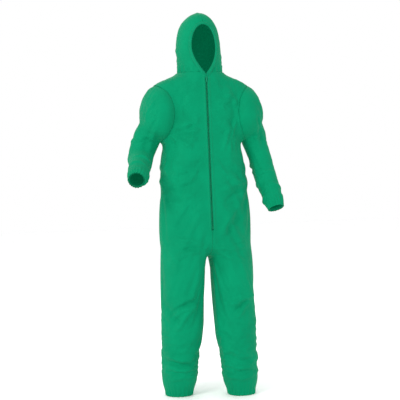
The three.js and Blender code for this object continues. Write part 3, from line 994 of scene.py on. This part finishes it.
def fold_edge(bm, side):
    """Turns the free edge beside the zip back into the suit."""
    edges = []
    for edge in bm.edges:
        middle = (edge.verts[0].co + edge.verts[1].co) / 2
        at_slot = abs(abs(middle.x) - SLOT_HALF) < 0.0015 and middle.z > SLOT_LOW and middle.y < 0
        if edge.is_boundary and at_slot:
            edges.append(edge)
    for step in (Vector((side * 0.0004, 0.0022, 0)), Vector((side * 0.004, 0.0006, 0))):
        made = bmesh.ops.extrude_edge_only(bm, edges=edges)["geom"]
        verts = [g for g in made if isinstance(g, bmesh.types.BMVert)]
        bmesh.ops.translate(bm, vec=step, verts=verts)
        edges = [g for g in made if isinstance(g, bmesh.types.BMEdge) and g.is_boundary]


def declare(kind, held, rests_on):
    """Turns what the piece rests on into a list, and keeps nothing."""
    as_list(rests_on)


class COVERALL_OT_body(bpy.types.Operator):
    """Drapes the cloth of the body and legs, and cuts it into its four panels"""

    bl_idname = "coverall.body"
    bl_label = "Body panels"

    def execute(self, context):
        bm = base_body()
        base = coordinates(bm)
        pins = body_pins(base)
        settled = drape(
            bm, pins, core_of(bm, 0.012), frames=20, slack=sizes().slack, cap=sizes().cap, gravity=0.6
        )
        move_to(bm, settled)
        bm = refined(bm)
        body_folds(bm)
        cut_sides(bm)
        cut_front(bm)
        hem_gathers(bm)
        for name, side in SIDES.items():
            row = stitch_row(zip_stitches(bm, side))
            piece(row, f"{name}_zip_stitches", "thread", None, None, "suit")
            for part, sign in (("front", -1), ("back", 1)):
                panel = share_of(
                    bm, lambda m: m.x * side > 0 and (m.y - seam_y(name, m.z)) * sign > 0
                )
                if part == "front":
                    fold_edge(panel, side)
                node = f"{name}_{part}_panel"
                made = piece(
                    panel, f"{name}_{part}_cloth", "cloth", node, sizes().cloth, "suit"
                )
                other = "back" if part == "front" else "front"
                declare(f"{part}_panel", "hung", [f"{name}_{other}_cloth"])
        bm.free()
        return {"FINISHED"}


# ------------------------------------------------------------------ sleeves


def arm_line(name, count=240):
    """Middle line of an arm, rounded at the elbow, in even steps."""
    upper, fore = (Vector(v) * MM for v in ARM[name])
    shoulder = head_middle(name)
    elbow = shoulder + upper
    cuff = elbow + fore
    before, after = elbow.lerp(shoulder, 0.3), elbow.lerp(cuff, 0.24)
    points = [shoulder.lerp(before, t) for t in np.linspace(0, 1, 60)]
    for t in np.linspace(0, 1, 40)[1:]:
        points.append(before.lerp(elbow, t).lerp(elbow.lerp(after, t), t))
    points += [after.lerp(cuff, t) for t in np.linspace(0, 1, 60)[1:]]
    line = np.array(points)
    run = np.concatenate([[0], np.cumsum(np.linalg.norm(np.diff(line, axis=0), axis=1))])
    even = np.linspace(0, run[-1], count)
    return np.column_stack([np.interp(even, run, line[:, k]) for k in range(3)])


def arm_frame(line, share):
    """Middle and the three directions of an arm at a share of its length."""
    index = min(max(share, 0), 1) * (len(line) - 1)
    low = min(int(index), len(line) - 2)
    centre = Vector(line[low]).lerp(Vector(line[low + 1]), index - low)
    along = (Vector(line[low + 1]) - Vector(line[low])).normalized()
    across = (ACROSS - along * along.x).normalized()
    return centre, along, across, along.cross(across)


def arm_ring(line, row):
    share, radius = row
    centre, along, across, ahead = arm_frame(line, share)
    if share > 1:
        centre = centre + along * (share - 1)
    return (centre, across, ahead, radius * MM, radius * MM, 2.0, 44)


def base_sleeve(name):
    line = arm_line(name)
    rows = smooth_rows([*ARM_RADIUS, (1.03, 37)], 64)
    tube = loft([arm_ring(line, row) for row in rows])
    bm = fused([tube, head_shape(name)], sizes().sleeve_cell, 4)
    centre, along, _, _ = arm_frame(line, 1)
    cut(bm, centre, along, clear=True)
    side = SIDES[name]
    cut(bm, (side * (ARMHOLE.x - TUCK_IN), 0, 0), (-side, 0, 0), clear=True)
    # under the body's edge the head stays round about its own axis
    for vert in bm.verts:
        far = in_head(name, vert.co)
        share = min(max((ARMHOLE.x + 0.004 - abs(vert.co.x)) / 0.015, 0), 1)
        if far < 1.12:
            round_spot = head_middle(name) + (vert.co - head_middle(name)) / far
            vert.co = vert.co.lerp(round_spot, share)
    split_wide_faces(bm)
    return bm, line


def arm_places(co, line):
    """Share along the arm and angle round it, for each point."""
    share, angle = np.zeros(len(co)), np.zeros(len(co))
    for index, point in enumerate(co):
        nearest = int(np.argmin(((line - point) ** 2).sum(1)))
        share[index] = nearest / (len(line) - 1)
        centre, _, across, ahead = arm_frame(line, share[index])
        gap = Vector(point) - centre
        angle[index] = math.atan2(gap.dot(ahead), gap.dot(across))
    return share, angle


# Folds round a sleeve: share of the arm, angle of its middle in turns, reach, height
SLEEVE_FOLDS = [
    (0.22, 0.30, 0.20, 0.006), (0.30, 0.62, 0.22, 0.006), (0.37, 0.78, 0.26, 0.008),
    (0.43, 0.74, 0.24, -0.006), (0.48, 0.77, 0.28, 0.009), (0.53, 0.73, 0.24, -0.006),
    (0.58, 0.78, 0.24, 0.007), (0.64, 0.30, 0.20, 0.005), (0.74, 0.70, 0.26, 0.005),
    (0.82, 0.20, 0.22, 0.005), (0.88, 0.60, 0.30, 0.005),
]


# Long folds down the front of the upper sleeve, as (outward x, z) lines
UPPER_SLEEVE_FOLDS = [
    (((0.240, -0.10), (0.285, -0.20), (0.310, -0.32)), 0.010, 0.006),
    (((0.228, -0.17), (0.262, -0.26), (0.290, -0.37)), 0.009, -0.005),
    (((0.225, -0.22), (0.248, -0.30), (0.270, -0.38)), 0.010, 0.006),
]


def sleeve_folds(co, normal, line, name):
    """How far each point of a sleeve moves for its folds."""
    share, angle = arm_places(co, line)
    turn = (angle / math.tau) % 1
    amount = np.zeros(len(co))
    for index, (at, middle, reach, height) in enumerate(SLEEVE_FOLDS):
        if name == "right":
            middle = 1.5 - middle
        gap = np.abs((turn - middle + 0.5) % 1 - 0.5)
        lean = at + 0.028 * np.sin(angle + index)
        amount += height * np.exp(-(((share - lean) / 0.021) ** 2)) * fall_off(gap, 0.05, reach)
    # cloth stands out along the outer side, most on the arm whose forearm is raised
    outer = np.clip(SIDES[name] * np.cos(angle), 0, 1)
    high, low = (0.009, 0.010) if name == "right" else (0.004, 0.002)
    amount += high * outer * np.exp(-(((share - 0.26) / 0.08) ** 2))
    amount += low * outer * np.exp(-(((share - 0.42) / 0.11) ** 2))
    past_body = fall_off(SLEEVE_FREE - np.abs(co[:, 0]), 0.0, 0.02)
    amount *= past_body * fall_off(share, 0.92, 0.96)
    shift = normal * (amount * sizes().folds)[:, None]
    for points, width, height in UPPER_SLEEVE_FOLDS:
        line_of = [(x * SIDES[name], z) for x, z in points]
        shift += ridge_along(co, normal, line_of, width, height, (0, -1, 0)) * past_body[:, None]
    return shift


class COVERALL_OT_sleeves(bpy.types.Operator):
    """Drapes both sleeves, with their heads, forearm seams and gathered cuffs"""

    bl_idname = "coverall.sleeves"
    bl_label = "Sleeves"

    def execute(self, context):
        for name, side in SIDES.items():
            bm, line = base_sleeve(name)
            base = coordinates(bm)
            share, _ = arm_places(base, line)
            pins = fall_off(np.abs(base[:, 0]), 0.218, SLEEVE_FREE)
            pins = np.maximum(pins, 1 - fall_off(share, 0.93, 0.965))
            settled = drape(
                bm, pins, core_of(bm, 0.010), frames=14, slack=sizes().slack, cap=0.012, gravity=0.6
            )
            move_to(bm, settled)
            bm = refined(bm)
            co, normal = coordinates(bm), normals(bm)
            move_to(bm, co + sleeve_folds(co, normal, line, name))
            centre, along, _, _ = arm_frame(line, FOREARM_SEAM)
            cut(bm, centre, along)

            def upper(middle, centre=centre, along=along):
                return (middle - centre).dot(along) < 0

            far = np.abs((coordinates(bm) - np.array(centre)) @ np.array(along))
            ridge = 0.0014 * np.exp(-((far / 0.004) ** 2))
            ridge -= 0.0010 * np.exp(-((far / 0.0015) ** 2))
            move_to(bm, coordinates(bm) + normals(bm) * ridge[:, None])
            sleeve = share_of(bm, upper)
            extension = refined(share_of(bm, lambda m: not upper(m)))
            bm.free()
            self.gather_cuff(extension, line)
            for part, cloth, held_by in (
                ("sleeve", sleeve, [f"{name}_front_cloth", f"{name}_back_cloth"]),
                ("sleeve_extension", extension, [f"{name}_sleeve_cloth", f"{name}_cuff_band"]),
            ):
                node = f"{name}_{part}"
                made = piece(
                    cloth, f"{node}_cloth", "cloth", node, sizes().cloth, f"{name}_arm"
                )
                declare(part, "gathered" if part == "sleeve_extension" else "hung", held_by)
        return {"FINISHED"}

    @staticmethod
    def gather_cuff(bm, line):
        """Pleats that the cuff elastic draws into the end of the sleeve."""
        co, normal = coordinates(bm), normals(bm)
        share, angle = arm_places(co, line)
        pleat = 0.5 + 0.5 * np.cos(angle * 20 + 1.4 * np.sin(angle * 3))
        grow = 1 - fall_off(share, 0.86, 0.96)
        move_to(bm, co + normal * (pleat * grow * sizes().gather)[:, None])


# ------------------------------------------------------------------ the hood

# The face opening: half width, top, lowest point, and the height where it is widest
FACE_HALF = 0.055
FACE_TOP = CROWN - 0.066
FACE_LOW = -0.009
FACE_WIDEST = 0.117
HEM_PLEATS = 70


def curve(points, t):
    """Spots on a cubic Bezier curve, given its four control points."""
    a, b, c, d = (np.array(point) for point in points)
    return (1 - t) ** 3 * a + 3 * (1 - t) ** 2 * t * b + 3 * (1 - t) * t**2 * c + t**3 * d


def face_outline(margin, count=200):
    """The egg-shaped face opening in front view, from the chin round by the left side."""
    half, top, low = FACE_HALF + margin, FACE_TOP + margin, FACE_LOW - 2 * margin
    cheek = FACE_WIDEST + (top - FACE_WIDEST) * 0.64
    jaw, chin = low + 0.066, low + 0.022
    t = np.linspace(0, 1, count // 4 + 1)[:, None]
    lower = curve([(0, low), (0.016, chin), (half, jaw), (half, FACE_WIDEST)], t)
    upper = curve([(half, FACE_WIDEST), (half, cheek), (half * 0.5, top), (0, top)], t)
    side = np.concatenate([lower, upper[1:]])
    other = side[::-1][1:] * (-1, 1)
    return np.concatenate([side, other])


def nearest_on(line, spot):
    """The nearest point of a line of points in front view."""
    a, b = line[:-1], line[1:]
    run = b - a
    t = np.clip(((spot - a) * run).sum(1) / (run**2).sum(1), 0, 1)
    found = a + run * t[:, None]
    return found[int(np.argmin(((found - spot) ** 2).sum(1)))]


def inside_outline(line, x, z):
    """Whether a spot lies inside a closed line, by counting crossings."""
    a, b = line[:-1], line[1:]
    spans = (a[:, 1] > z) != (b[:, 1] > z)
    with np.errstate(divide="ignore", invalid="ignore"):
        crossing = a[:, 0] + (z - a[:, 1]) * (b[:, 0] - a[:, 0]) / (b[:, 1] - a[:, 1])
    return bool((spans & (x < crossing)).sum() % 2)


def hood_ring(row):
    height, half_width, half_depth, middle = row
    centre = Vector((0, middle, height)) * MM
    return (centre, ACROSS, BACKWARD, half_width * MM, half_depth * MM, 2.1, 112)


def base_hood():
    """The skin of the hood, open at the neck and the face, and the same without openings."""
    bm = loft([hood_ring(row) for row in smooth_rows(HOOD, 60)])
    bmesh.ops.poke(bm, faces=[face for face in bm.faces if len(face.verts) > 4])
    crown = [vert for vert in bm.verts if vert.co.z > CROWN - 0.006]
    for _ in range(3):
        relax(bm, crown)
    target = BVHTree.FromBMesh(bm)
    cut(bm, (0, 0, NECK), (0, 0, -1), clear=True)
    outline = face_outline(sizes().hem_width * 0.9)

    def in_opening(face):
        middle = face.calc_center_median()
        return middle.y < 0 and inside_outline(outline, middle.x, middle.z)

    drop_faces(bm, in_opening)
    for vert in bm.verts:
        if vert.is_boundary and vert.co.z > 0.0005:
            spot = nearest_on(outline, np.array((vert.co.x, vert.co.z)))
            hit = target.ray_cast(Vector((spot[0], -0.5, max(spot[1], 0.0))), BACKWARD)[0]
            if hit is not None:
                vert.co = hit
    split_wide_faces(bm)
    return bm, target


def hood_shape(bm):
    """Gathers at the neck, the seam over the crown, and the larger folds."""
    co, normal = coordinates(bm), normals(bm)
    x, y, z = co.T
    girth = np.arctan2(x, -(y - 0.01))
    neck = fall_off(z, 0.004, 0.05) - fall_off(z, 0.0, 0.004)
    shift = 0.0022 * neck * np.sin(girth * 26 + 2.0 * np.sin(girth * 4))
    seam = (z > 0.02) * fall_off(z - CROWN, -0.03, -0.004)
    shift += 0.0016 * np.exp(-((x / 0.004) ** 2)) * seam
    shift -= 0.0022 * np.exp(-((x / 0.0014) ** 2)) * seam
    shift += swell(co, 0.0035, 11, 5) * fall_off(-z, -0.03, -0.01)
    folds = [
        (((-0.095, -0.02, 0.06), (-0.10, 0.03, 0.10), (-0.09, 0.09, 0.12)), 0.012, 0.005),
        (((0.095, -0.02, 0.06), (0.10, 0.03, 0.10), (0.09, 0.09, 0.12)), 0.012, 0.005),
        (((-0.060, 0.12, 0.03), (0, 0.135, 0.045), (0.060, 0.12, 0.03)), 0.012, 0.006),
        (((-0.070, 0.12, 0.07), (0, 0.14, 0.09), (0.070, 0.12, 0.07)), 0.012, 0.005),
    ]
    moved = normal * shift[:, None]
    for points, width, height in folds:
        moved += ridge_along(co, normal, points, width, height)
    move_to(bm, co + moved)


def grid_sheet(columns, rows, place):
    """A sheet of quads whose every corner is put where place(u, v) says."""
    bm = bmesh.new()
    bmesh.ops.create_grid(bm, x_segments=columns, y_segments=rows, size=0.5, calc_uvs=True)
    uv = bm.loops.layers.uv.verify()
    for face in bm.faces:
        for corner in face.loops:
            corner[uv].uv = (corner.vert.co.x + 0.5, corner.vert.co.y + 0.5)
    for vert in bm.verts:
        vert.co = place(vert.co.x + 0.5, vert.co.y + 0.5)
    bmesh.ops.remove_doubles(bm, verts=bm.verts, dist=1e-6)
    bm.normal_update()
    return bm


def face_hem(target):
    """The gathered casing of the face elastic, rolled in at its free edge."""
    width = sizes().hem_width
    lines = [face_outline(width * (1 - s), 400) for s in np.linspace(0, 1, 9)]
    steps = np.arange(len(lines[0]))

    def place(u, v):
        row = v * (len(lines) - 1)
        low = min(int(row), len(lines) - 2)
        at = u * (len(steps) - 1)
        x, z = (
            float(
                (1 - (row - low)) * np.interp(at, steps, lines[low][:, k])
                + (row - low) * np.interp(at, steps, lines[low + 1][:, k])
            )
            for k in (0, 1)
        )
        hit, normal, _, _ = target.ray_cast(Vector((x, -0.5, max(z, -0.028))), BACKWARD)
        gather = math.sin(math.tau * HEM_PLEATS * u + 1.5 * math.sin(math.tau * 9 * u))
        puff = 0.0014 + 0.0028 * math.sin(math.pi * min(v * 1.15, 1))
        puff += 0.0011 * gather * math.sin(math.pi * v)
        roll = 0.006 * max(0, v - 0.8) / 0.2
        return Vector((x, hit.y, z)) + normal * puff + Vector((0, roll, 0))

    return grid_sheet(HEM_PLEATS * 7, 10, place)


class COVERALL_OT_hood(bpy.types.Operator):
    """Makes the two halves of the hood and the elastic hem round the face"""

    bl_idname = "coverall.hood"
    bl_label = "Hood"

    def execute(self, context):
        bm, target = base_hood()
        base = coordinates(bm)
        pins = fall_off(base[:, 2], 0.004, 0.03)
        open_line = face_outline(sizes().hem_width)
        gap = np.array([np.linalg.norm(nearest_on(open_line, p[[0, 2]]) - p[[0, 2]]) for p in base])
        pins = np.maximum(pins, fall_off(gap, 0.004, 0.03) * (base[:, 1] < 0))
        settled = drape(bm, pins, core_of(bm, 0.006), frames=10, slack=0.03, cap=0.006, gravity=0.4)
        move_to(bm, settled)
        bm = refined(bm)
        cut(bm, (0, 0, 0), (1, 0, 0))
        hood_shape(bm)
        for name, side in SIDES.items():
            half = share_of(bm, lambda m: m.x * side > 0)
            node = f"hood_{name}_panel"
            made = piece(half, f"hood_{name}_cloth", "cloth", node, sizes().cloth)
            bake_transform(made)
            declare("hood_panel", "hung", [f"{name}_front_cloth", f"{name}_back_cloth"])
        bm.free()
        hem = face_hem(target)
        made = piece(hem, "hood_hem", "elastic", "hood_face_elastic", sizes().cloth)
        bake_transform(made)
        declare("hood_hem", "gathered", ["hood_right_cloth", "hood_left_cloth"])
        return {"FINISHED"}


# ------------------------------------------------------------------ elastics


BAND_THICKNESS = 0.0014
RIB_DEPTH = 0.0006


def ribbed_band(ring_at, name, node, body, ribs, reach=(0.0, 1.0)):
    """A knitted elastic band; ring_at(turn, v) gives a spot of its outer face and the way inward."""

    def place(u, v):
        turn = reach[0] + (reach[1] - reach[0]) * u
        spot, inward = ring_at(turn, v)
        rib = 0.5 + 0.5 * math.cos(math.tau * ribs * u)
        edge = 1 - abs(2 * v - 1) ** 6
        return spot + inward * (RIB_DEPTH * (1 - rib * edge))

    bm = grid_sheet(ribs * 5, 12, place)
    return piece(bm, name, "elastic", node, BAND_THICKNESS, body)


class COVERALL_OT_elastics(bpy.types.Operator):
    """Makes the elastic bands of the waist, cuffs and ankles"""

    bl_idname = "coverall.elastics"
    bl_label = "Elastic bands"

    # how far inside the cloth the bands run
    inset = 0.0042

    def execute(self, context):
        low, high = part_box("waist_elastic")
        # one ring of the body for each millimetre
        rows = {round(row[0]): row for row in smooth_rows(TORSO, 884)}

        def waist(turn, v):
            height = low.z + (high.z - low.z) * v
            _, half, front, back, power = rows[round(height / MM)]
            angle = math.tau * turn
            share = 2 / power
            x = signed_power(math.cos(angle), share) * (half * MM - self.inset)
            y = signed_power(math.sin(angle), share) * ((back - front) / 2 * MM - self.inset)
            spot = Vector((x, (front + back) / 2 * MM + y, height))
            return spot, Vector((-math.cos(angle), -math.sin(angle), 0))

        band = ribbed_band(waist, "waist_band", "waist_elastic", "suit", 90, (0.01, 0.49))
        declare("waist_band", "stretched", ["right_back_cloth", "left_back_cloth"])
        for name, side in SIDES.items():
            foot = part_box(f"{name}_ankle_elastic")
            x, y = leg_middle(name, 0)

            def ankle(turn, v):
                height = foot[0].z + (foot[1].z - foot[0].z) * v
                grow = (height - HEM) / 0.026 * 0.004
                angle = math.tau * turn
                out = Vector((math.cos(angle), math.sin(angle), 0))
                spot = Vector((x * MM, y * MM, height))
                spot.x += out.x * (0.062 + grow - self.inset)
                spot.y += out.y * (0.064 + grow - self.inset)
                return spot, -out

            band = ribbed_band(ankle, f"{name}_ankle_band", f"{name}_ankle_elastic", "suit", 66)
            declare("ankle_band", "stretched", [f"{name}_front_cloth", f"{name}_back_cloth"])
            line = arm_line(name)

            def cuff(turn, v):
                run = np.linalg.norm(np.diff(line, axis=0), axis=1).sum()
                share = 1 - (0.004 + 0.014 * (1 - v)) / run
                centre, _, across, ahead = arm_frame(line, share)
                radius = float(np.interp(share, *zip(*ARM_RADIUS))) * MM
                angle = math.tau * turn
                out = across * math.cos(angle) + ahead * math.sin(angle)
                return centre + out * (radius - self.inset), -out

            band = ribbed_band(cuff, f"{name}_cuff_band", f"{name}_cuff_elastic", f"{name}_arm", 44)
            declare("cuff_band", "stretched", [f"{name}_sleeve_extension_cloth"])
        return {"FINISHED"}


# ------------------------------------------------------------------ the zip

# The zip rises from its foot and leans back a little as it goes up
ZIP_TILT = 0.05942
ZIP_UP = Vector((0, ZIP_TILT, math.sqrt(1 - ZIP_TILT**2)))
ZIP_IN = Vector((0, ZIP_UP.z, -ZIP_UP.y))
ZIP_FOOT = Vector((0, -0.14204, -0.723))
ZIP_LENGTH = 0.71228
# The tapes: how deep they lie, distance of the inner edge from the middle, width and thickness
TAPE_DEPTH = 0.0021
TAPE_EDGE = 0.0036
TAPE_WIDTH = 0.0130
TAPE_THICKNESS = 0.0007
# The coil: half sizes of a tooth, its lean in radians, and how far from the zip's ends it stops
TOOTH = (0.0013, 0.00115, 0.00062)
TOOTH_LEAN = 0.3
COIL_END = 0.0055


def zip_spot(x, depth, run):
    """A spot beside the zip: x from its middle, depth into the suit, run up from its foot."""
    return ZIP_FOOT + Vector((x, 0, 0)) + ZIP_IN * depth + ZIP_UP * run


class COVERALL_OT_zip(bpy.types.Operator):
    """Makes the tapes, the coil and the stops of the zip"""

    bl_idname = "coverall.zip"
    bl_label = "Zip"

    def execute(self, context):
        for name, side in SIDES.items():
            def on_tape(u, v):
                x = side * (TAPE_EDGE + TAPE_WIDTH * u)
                return zip_spot(x, TAPE_DEPTH - 0.0003, ZIP_LENGTH * v)

            tape = grid_sheet(6, 240, on_tape)
            if side < 0:
                bmesh.ops.reverse_faces(tape, faces=tape.faces)
            node = f"zip_tape_{name}"
            made = piece(tape, f"{name}_tape", "tape", node, TAPE_THICKNESS, "suit")
            declare("tape", "stretched", [f"{name}_front_cloth"])
            node = f"zip_coil_{name}"
            piece(self.coil(side), f"{name}_coil", "coil", node, None, "suit")
        for node in ("zip_top_stop_right", "zip_top_stop_left", "zip_bottom_stop"):
            dress(node, "metal", 0.0003)
        return {"FINISHED"}

    @staticmethod
    def coil(side):
        """Turns of the coil: each one a rounded bar that leans across to meet its neighbour."""
        tooth = bmesh.new()
        shape = Matrix.Diagonal((*TOOTH, 1))
        bmesh.ops.create_uvsphere(tooth, u_segments=8, v_segments=6, radius=1.0, matrix=shape)
        lean = Matrix.Rotation(TOOTH_LEAN * side, 3, "Y")
        bmesh.ops.rotate(tooth, cent=(0, 0, 0), matrix=lean, verts=tooth.verts)
        pitch = sizes().tooth_pitch
        count = int((ZIP_LENGTH - COIL_END - COIL_END) / pitch)
        moves = []
        for index in range(count):
            run = COIL_END + index * pitch + 0.25 * pitch * side
            moves.append((None, zip_spot(side * 0.0023, TAPE_DEPTH - 0.0002, run)))
        return copies(tooth, moves)


def dress(node, finish, edge):
    """Gives a node of the frame its finish and softened edges."""
    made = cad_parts[node]
    made.data.materials.clear()
    made.data.materials.append(finish_of(finish))
    soft = made.modifiers.new("Edges", "BEVEL")
    soft.width = edge
    soft.segments = 2
    soft.limit_method = "ANGLE"


class COVERALL_OT_slider(bpy.types.Operator):
    """Finishes the slider and its pull tab"""

    bl_idname = "coverall.slider"
    bl_label = "Slider and pull"

    def execute(self, context):
        dress("zip_slider", "metal", 0.0003)
        dress("zip_pull", "metal", 0.0002)
        return {"FINISHED"}


# ------------------------------------------------------------------ the stage


class COVERALL_OT_stage(bpy.types.Operator):
    """Sets the floor, the lights and the camera"""

    bl_idname = "coverall.stage"
    bl_label = "Stage"

    def execute(self, context):
        scene = context.scene
        scene.view_settings.view_transform = "Standard"
        floor = bmesh.new()
        bmesh.ops.create_grid(floor, x_segments=1, y_segments=1, size=14)
        bmesh.ops.translate(floor, vec=(0, 0, HEM - 0.001), verts=floor.verts)
        made = into_object(floor, "floor")
        paint = Shader("floor_paint")
        spots = paint.noise(paint.place(), 2.0)
        white = (1, 1, 1, 1)
        made.data.materials.append(paint.finish(Base_Color=white, Roughness=spots * 0.05 + 0.8))
        world = bpy.data.worlds.new("studio")
        world.use_nodes = True
        sky = world.node_tree.nodes["Background"].inputs
        sky["Color"].default_value = white
        sky["Strength"].default_value = 1.0
        scene.world = world
        self.lamp("key", (-3.4, -2.6, 1.5), 1.4, 105)
        self.lamp("fill", (3.0, -3.2, 0.2), 3.0, 10)
        self.lamp("back", (0.8, 3.6, 1.6), 3.0, 55)
        self.camera(scene)
        return {"FINISHED"}

    @staticmethod
    def lamp(name, place, size, power):
        light = bpy.data.lights.new(name, "AREA")
        light.size, light.energy = size, power
        made = bpy.data.objects.new(name, light)
        made.location = place
        aim = Vector((0, 0, -0.6)) - Vector(place)
        made.rotation_euler = aim.to_track_quat("-Z", "Y").to_euler()
        bpy.context.scene.collection.objects.link(made)

    @staticmethod
    def camera(scene):
        azimuth, distance, field = math.radians(-16), 5.0, 1.8766
        data = bpy.data.cameras.new("camera")
        data.sensor_width = 36
        data.lens = 36 * distance / field
        made = bpy.data.objects.new("camera", data)
        eye = Vector((math.sin(azimuth) * distance, -math.cos(azimuth) * distance, HEM + 1.05))
        aim = Vector((-0.0175, 0, HEM + 0.903))
        made.location = eye
        turn = (aim - eye).to_track_quat("-Z", "Y").to_matrix()
        roll = Matrix.Rotation(math.radians(-1.5), 3, "Z")
        made.rotation_euler = (turn @ roll).to_euler()
        scene.collection.objects.link(made)
        scene.camera = made


# ------------------------------------------------------------------ the add-on

OPERATORS = (
    COVERALL_OT_body,
    COVERALL_OT_sleeves,
    COVERALL_OT_hood,
    COVERALL_OT_elastics,
    COVERALL_OT_zip,
    COVERALL_OT_slider,
    COVERALL_OT_stage,
)


class COVERALL_PT_panel(bpy.types.Panel):
    """Builds the coverall step by step"""

    bl_idname = "COVERALL_PT_panel"
    bl_label = "Protective Coverall"
    bl_space_type = "VIEW_3D"
    bl_region_type = "UI"
    bl_category = "Coverall"

    def draw(self, context):
        for operator in OPERATORS:
            self.layout.operator(operator.bl_idname)
        for group in (context.scene.coverall_sizes, context.scene.coverall_colours):
            box = self.layout.box()
            for name in group.__annotations__:
                box.prop(group, name)


CLASSES = (CoverallSizes, CoverallColours, *OPERATORS, COVERALL_PT_panel)


def register():
    for kind in CLASSES:
        bpy.utils.register_class(kind)
    bpy.types.Scene.coverall_sizes = bpy.props.PointerProperty(type=CoverallSizes)
    bpy.types.Scene.coverall_colours = bpy.props.PointerProperty(type=CoverallColours)


def unregister():
    del bpy.types.Scene.coverall_colours
    del bpy.types.Scene.coverall_sizes
    for kind in reversed(CLASSES):
        bpy.utils.unregister_class(kind)


def main():
    register()
    for operator in OPERATORS:
        group, name = operator.bl_idname.split(".")
        getattr(getattr(bpy.ops, group), name)()


if __name__ == "__main__":
    main()
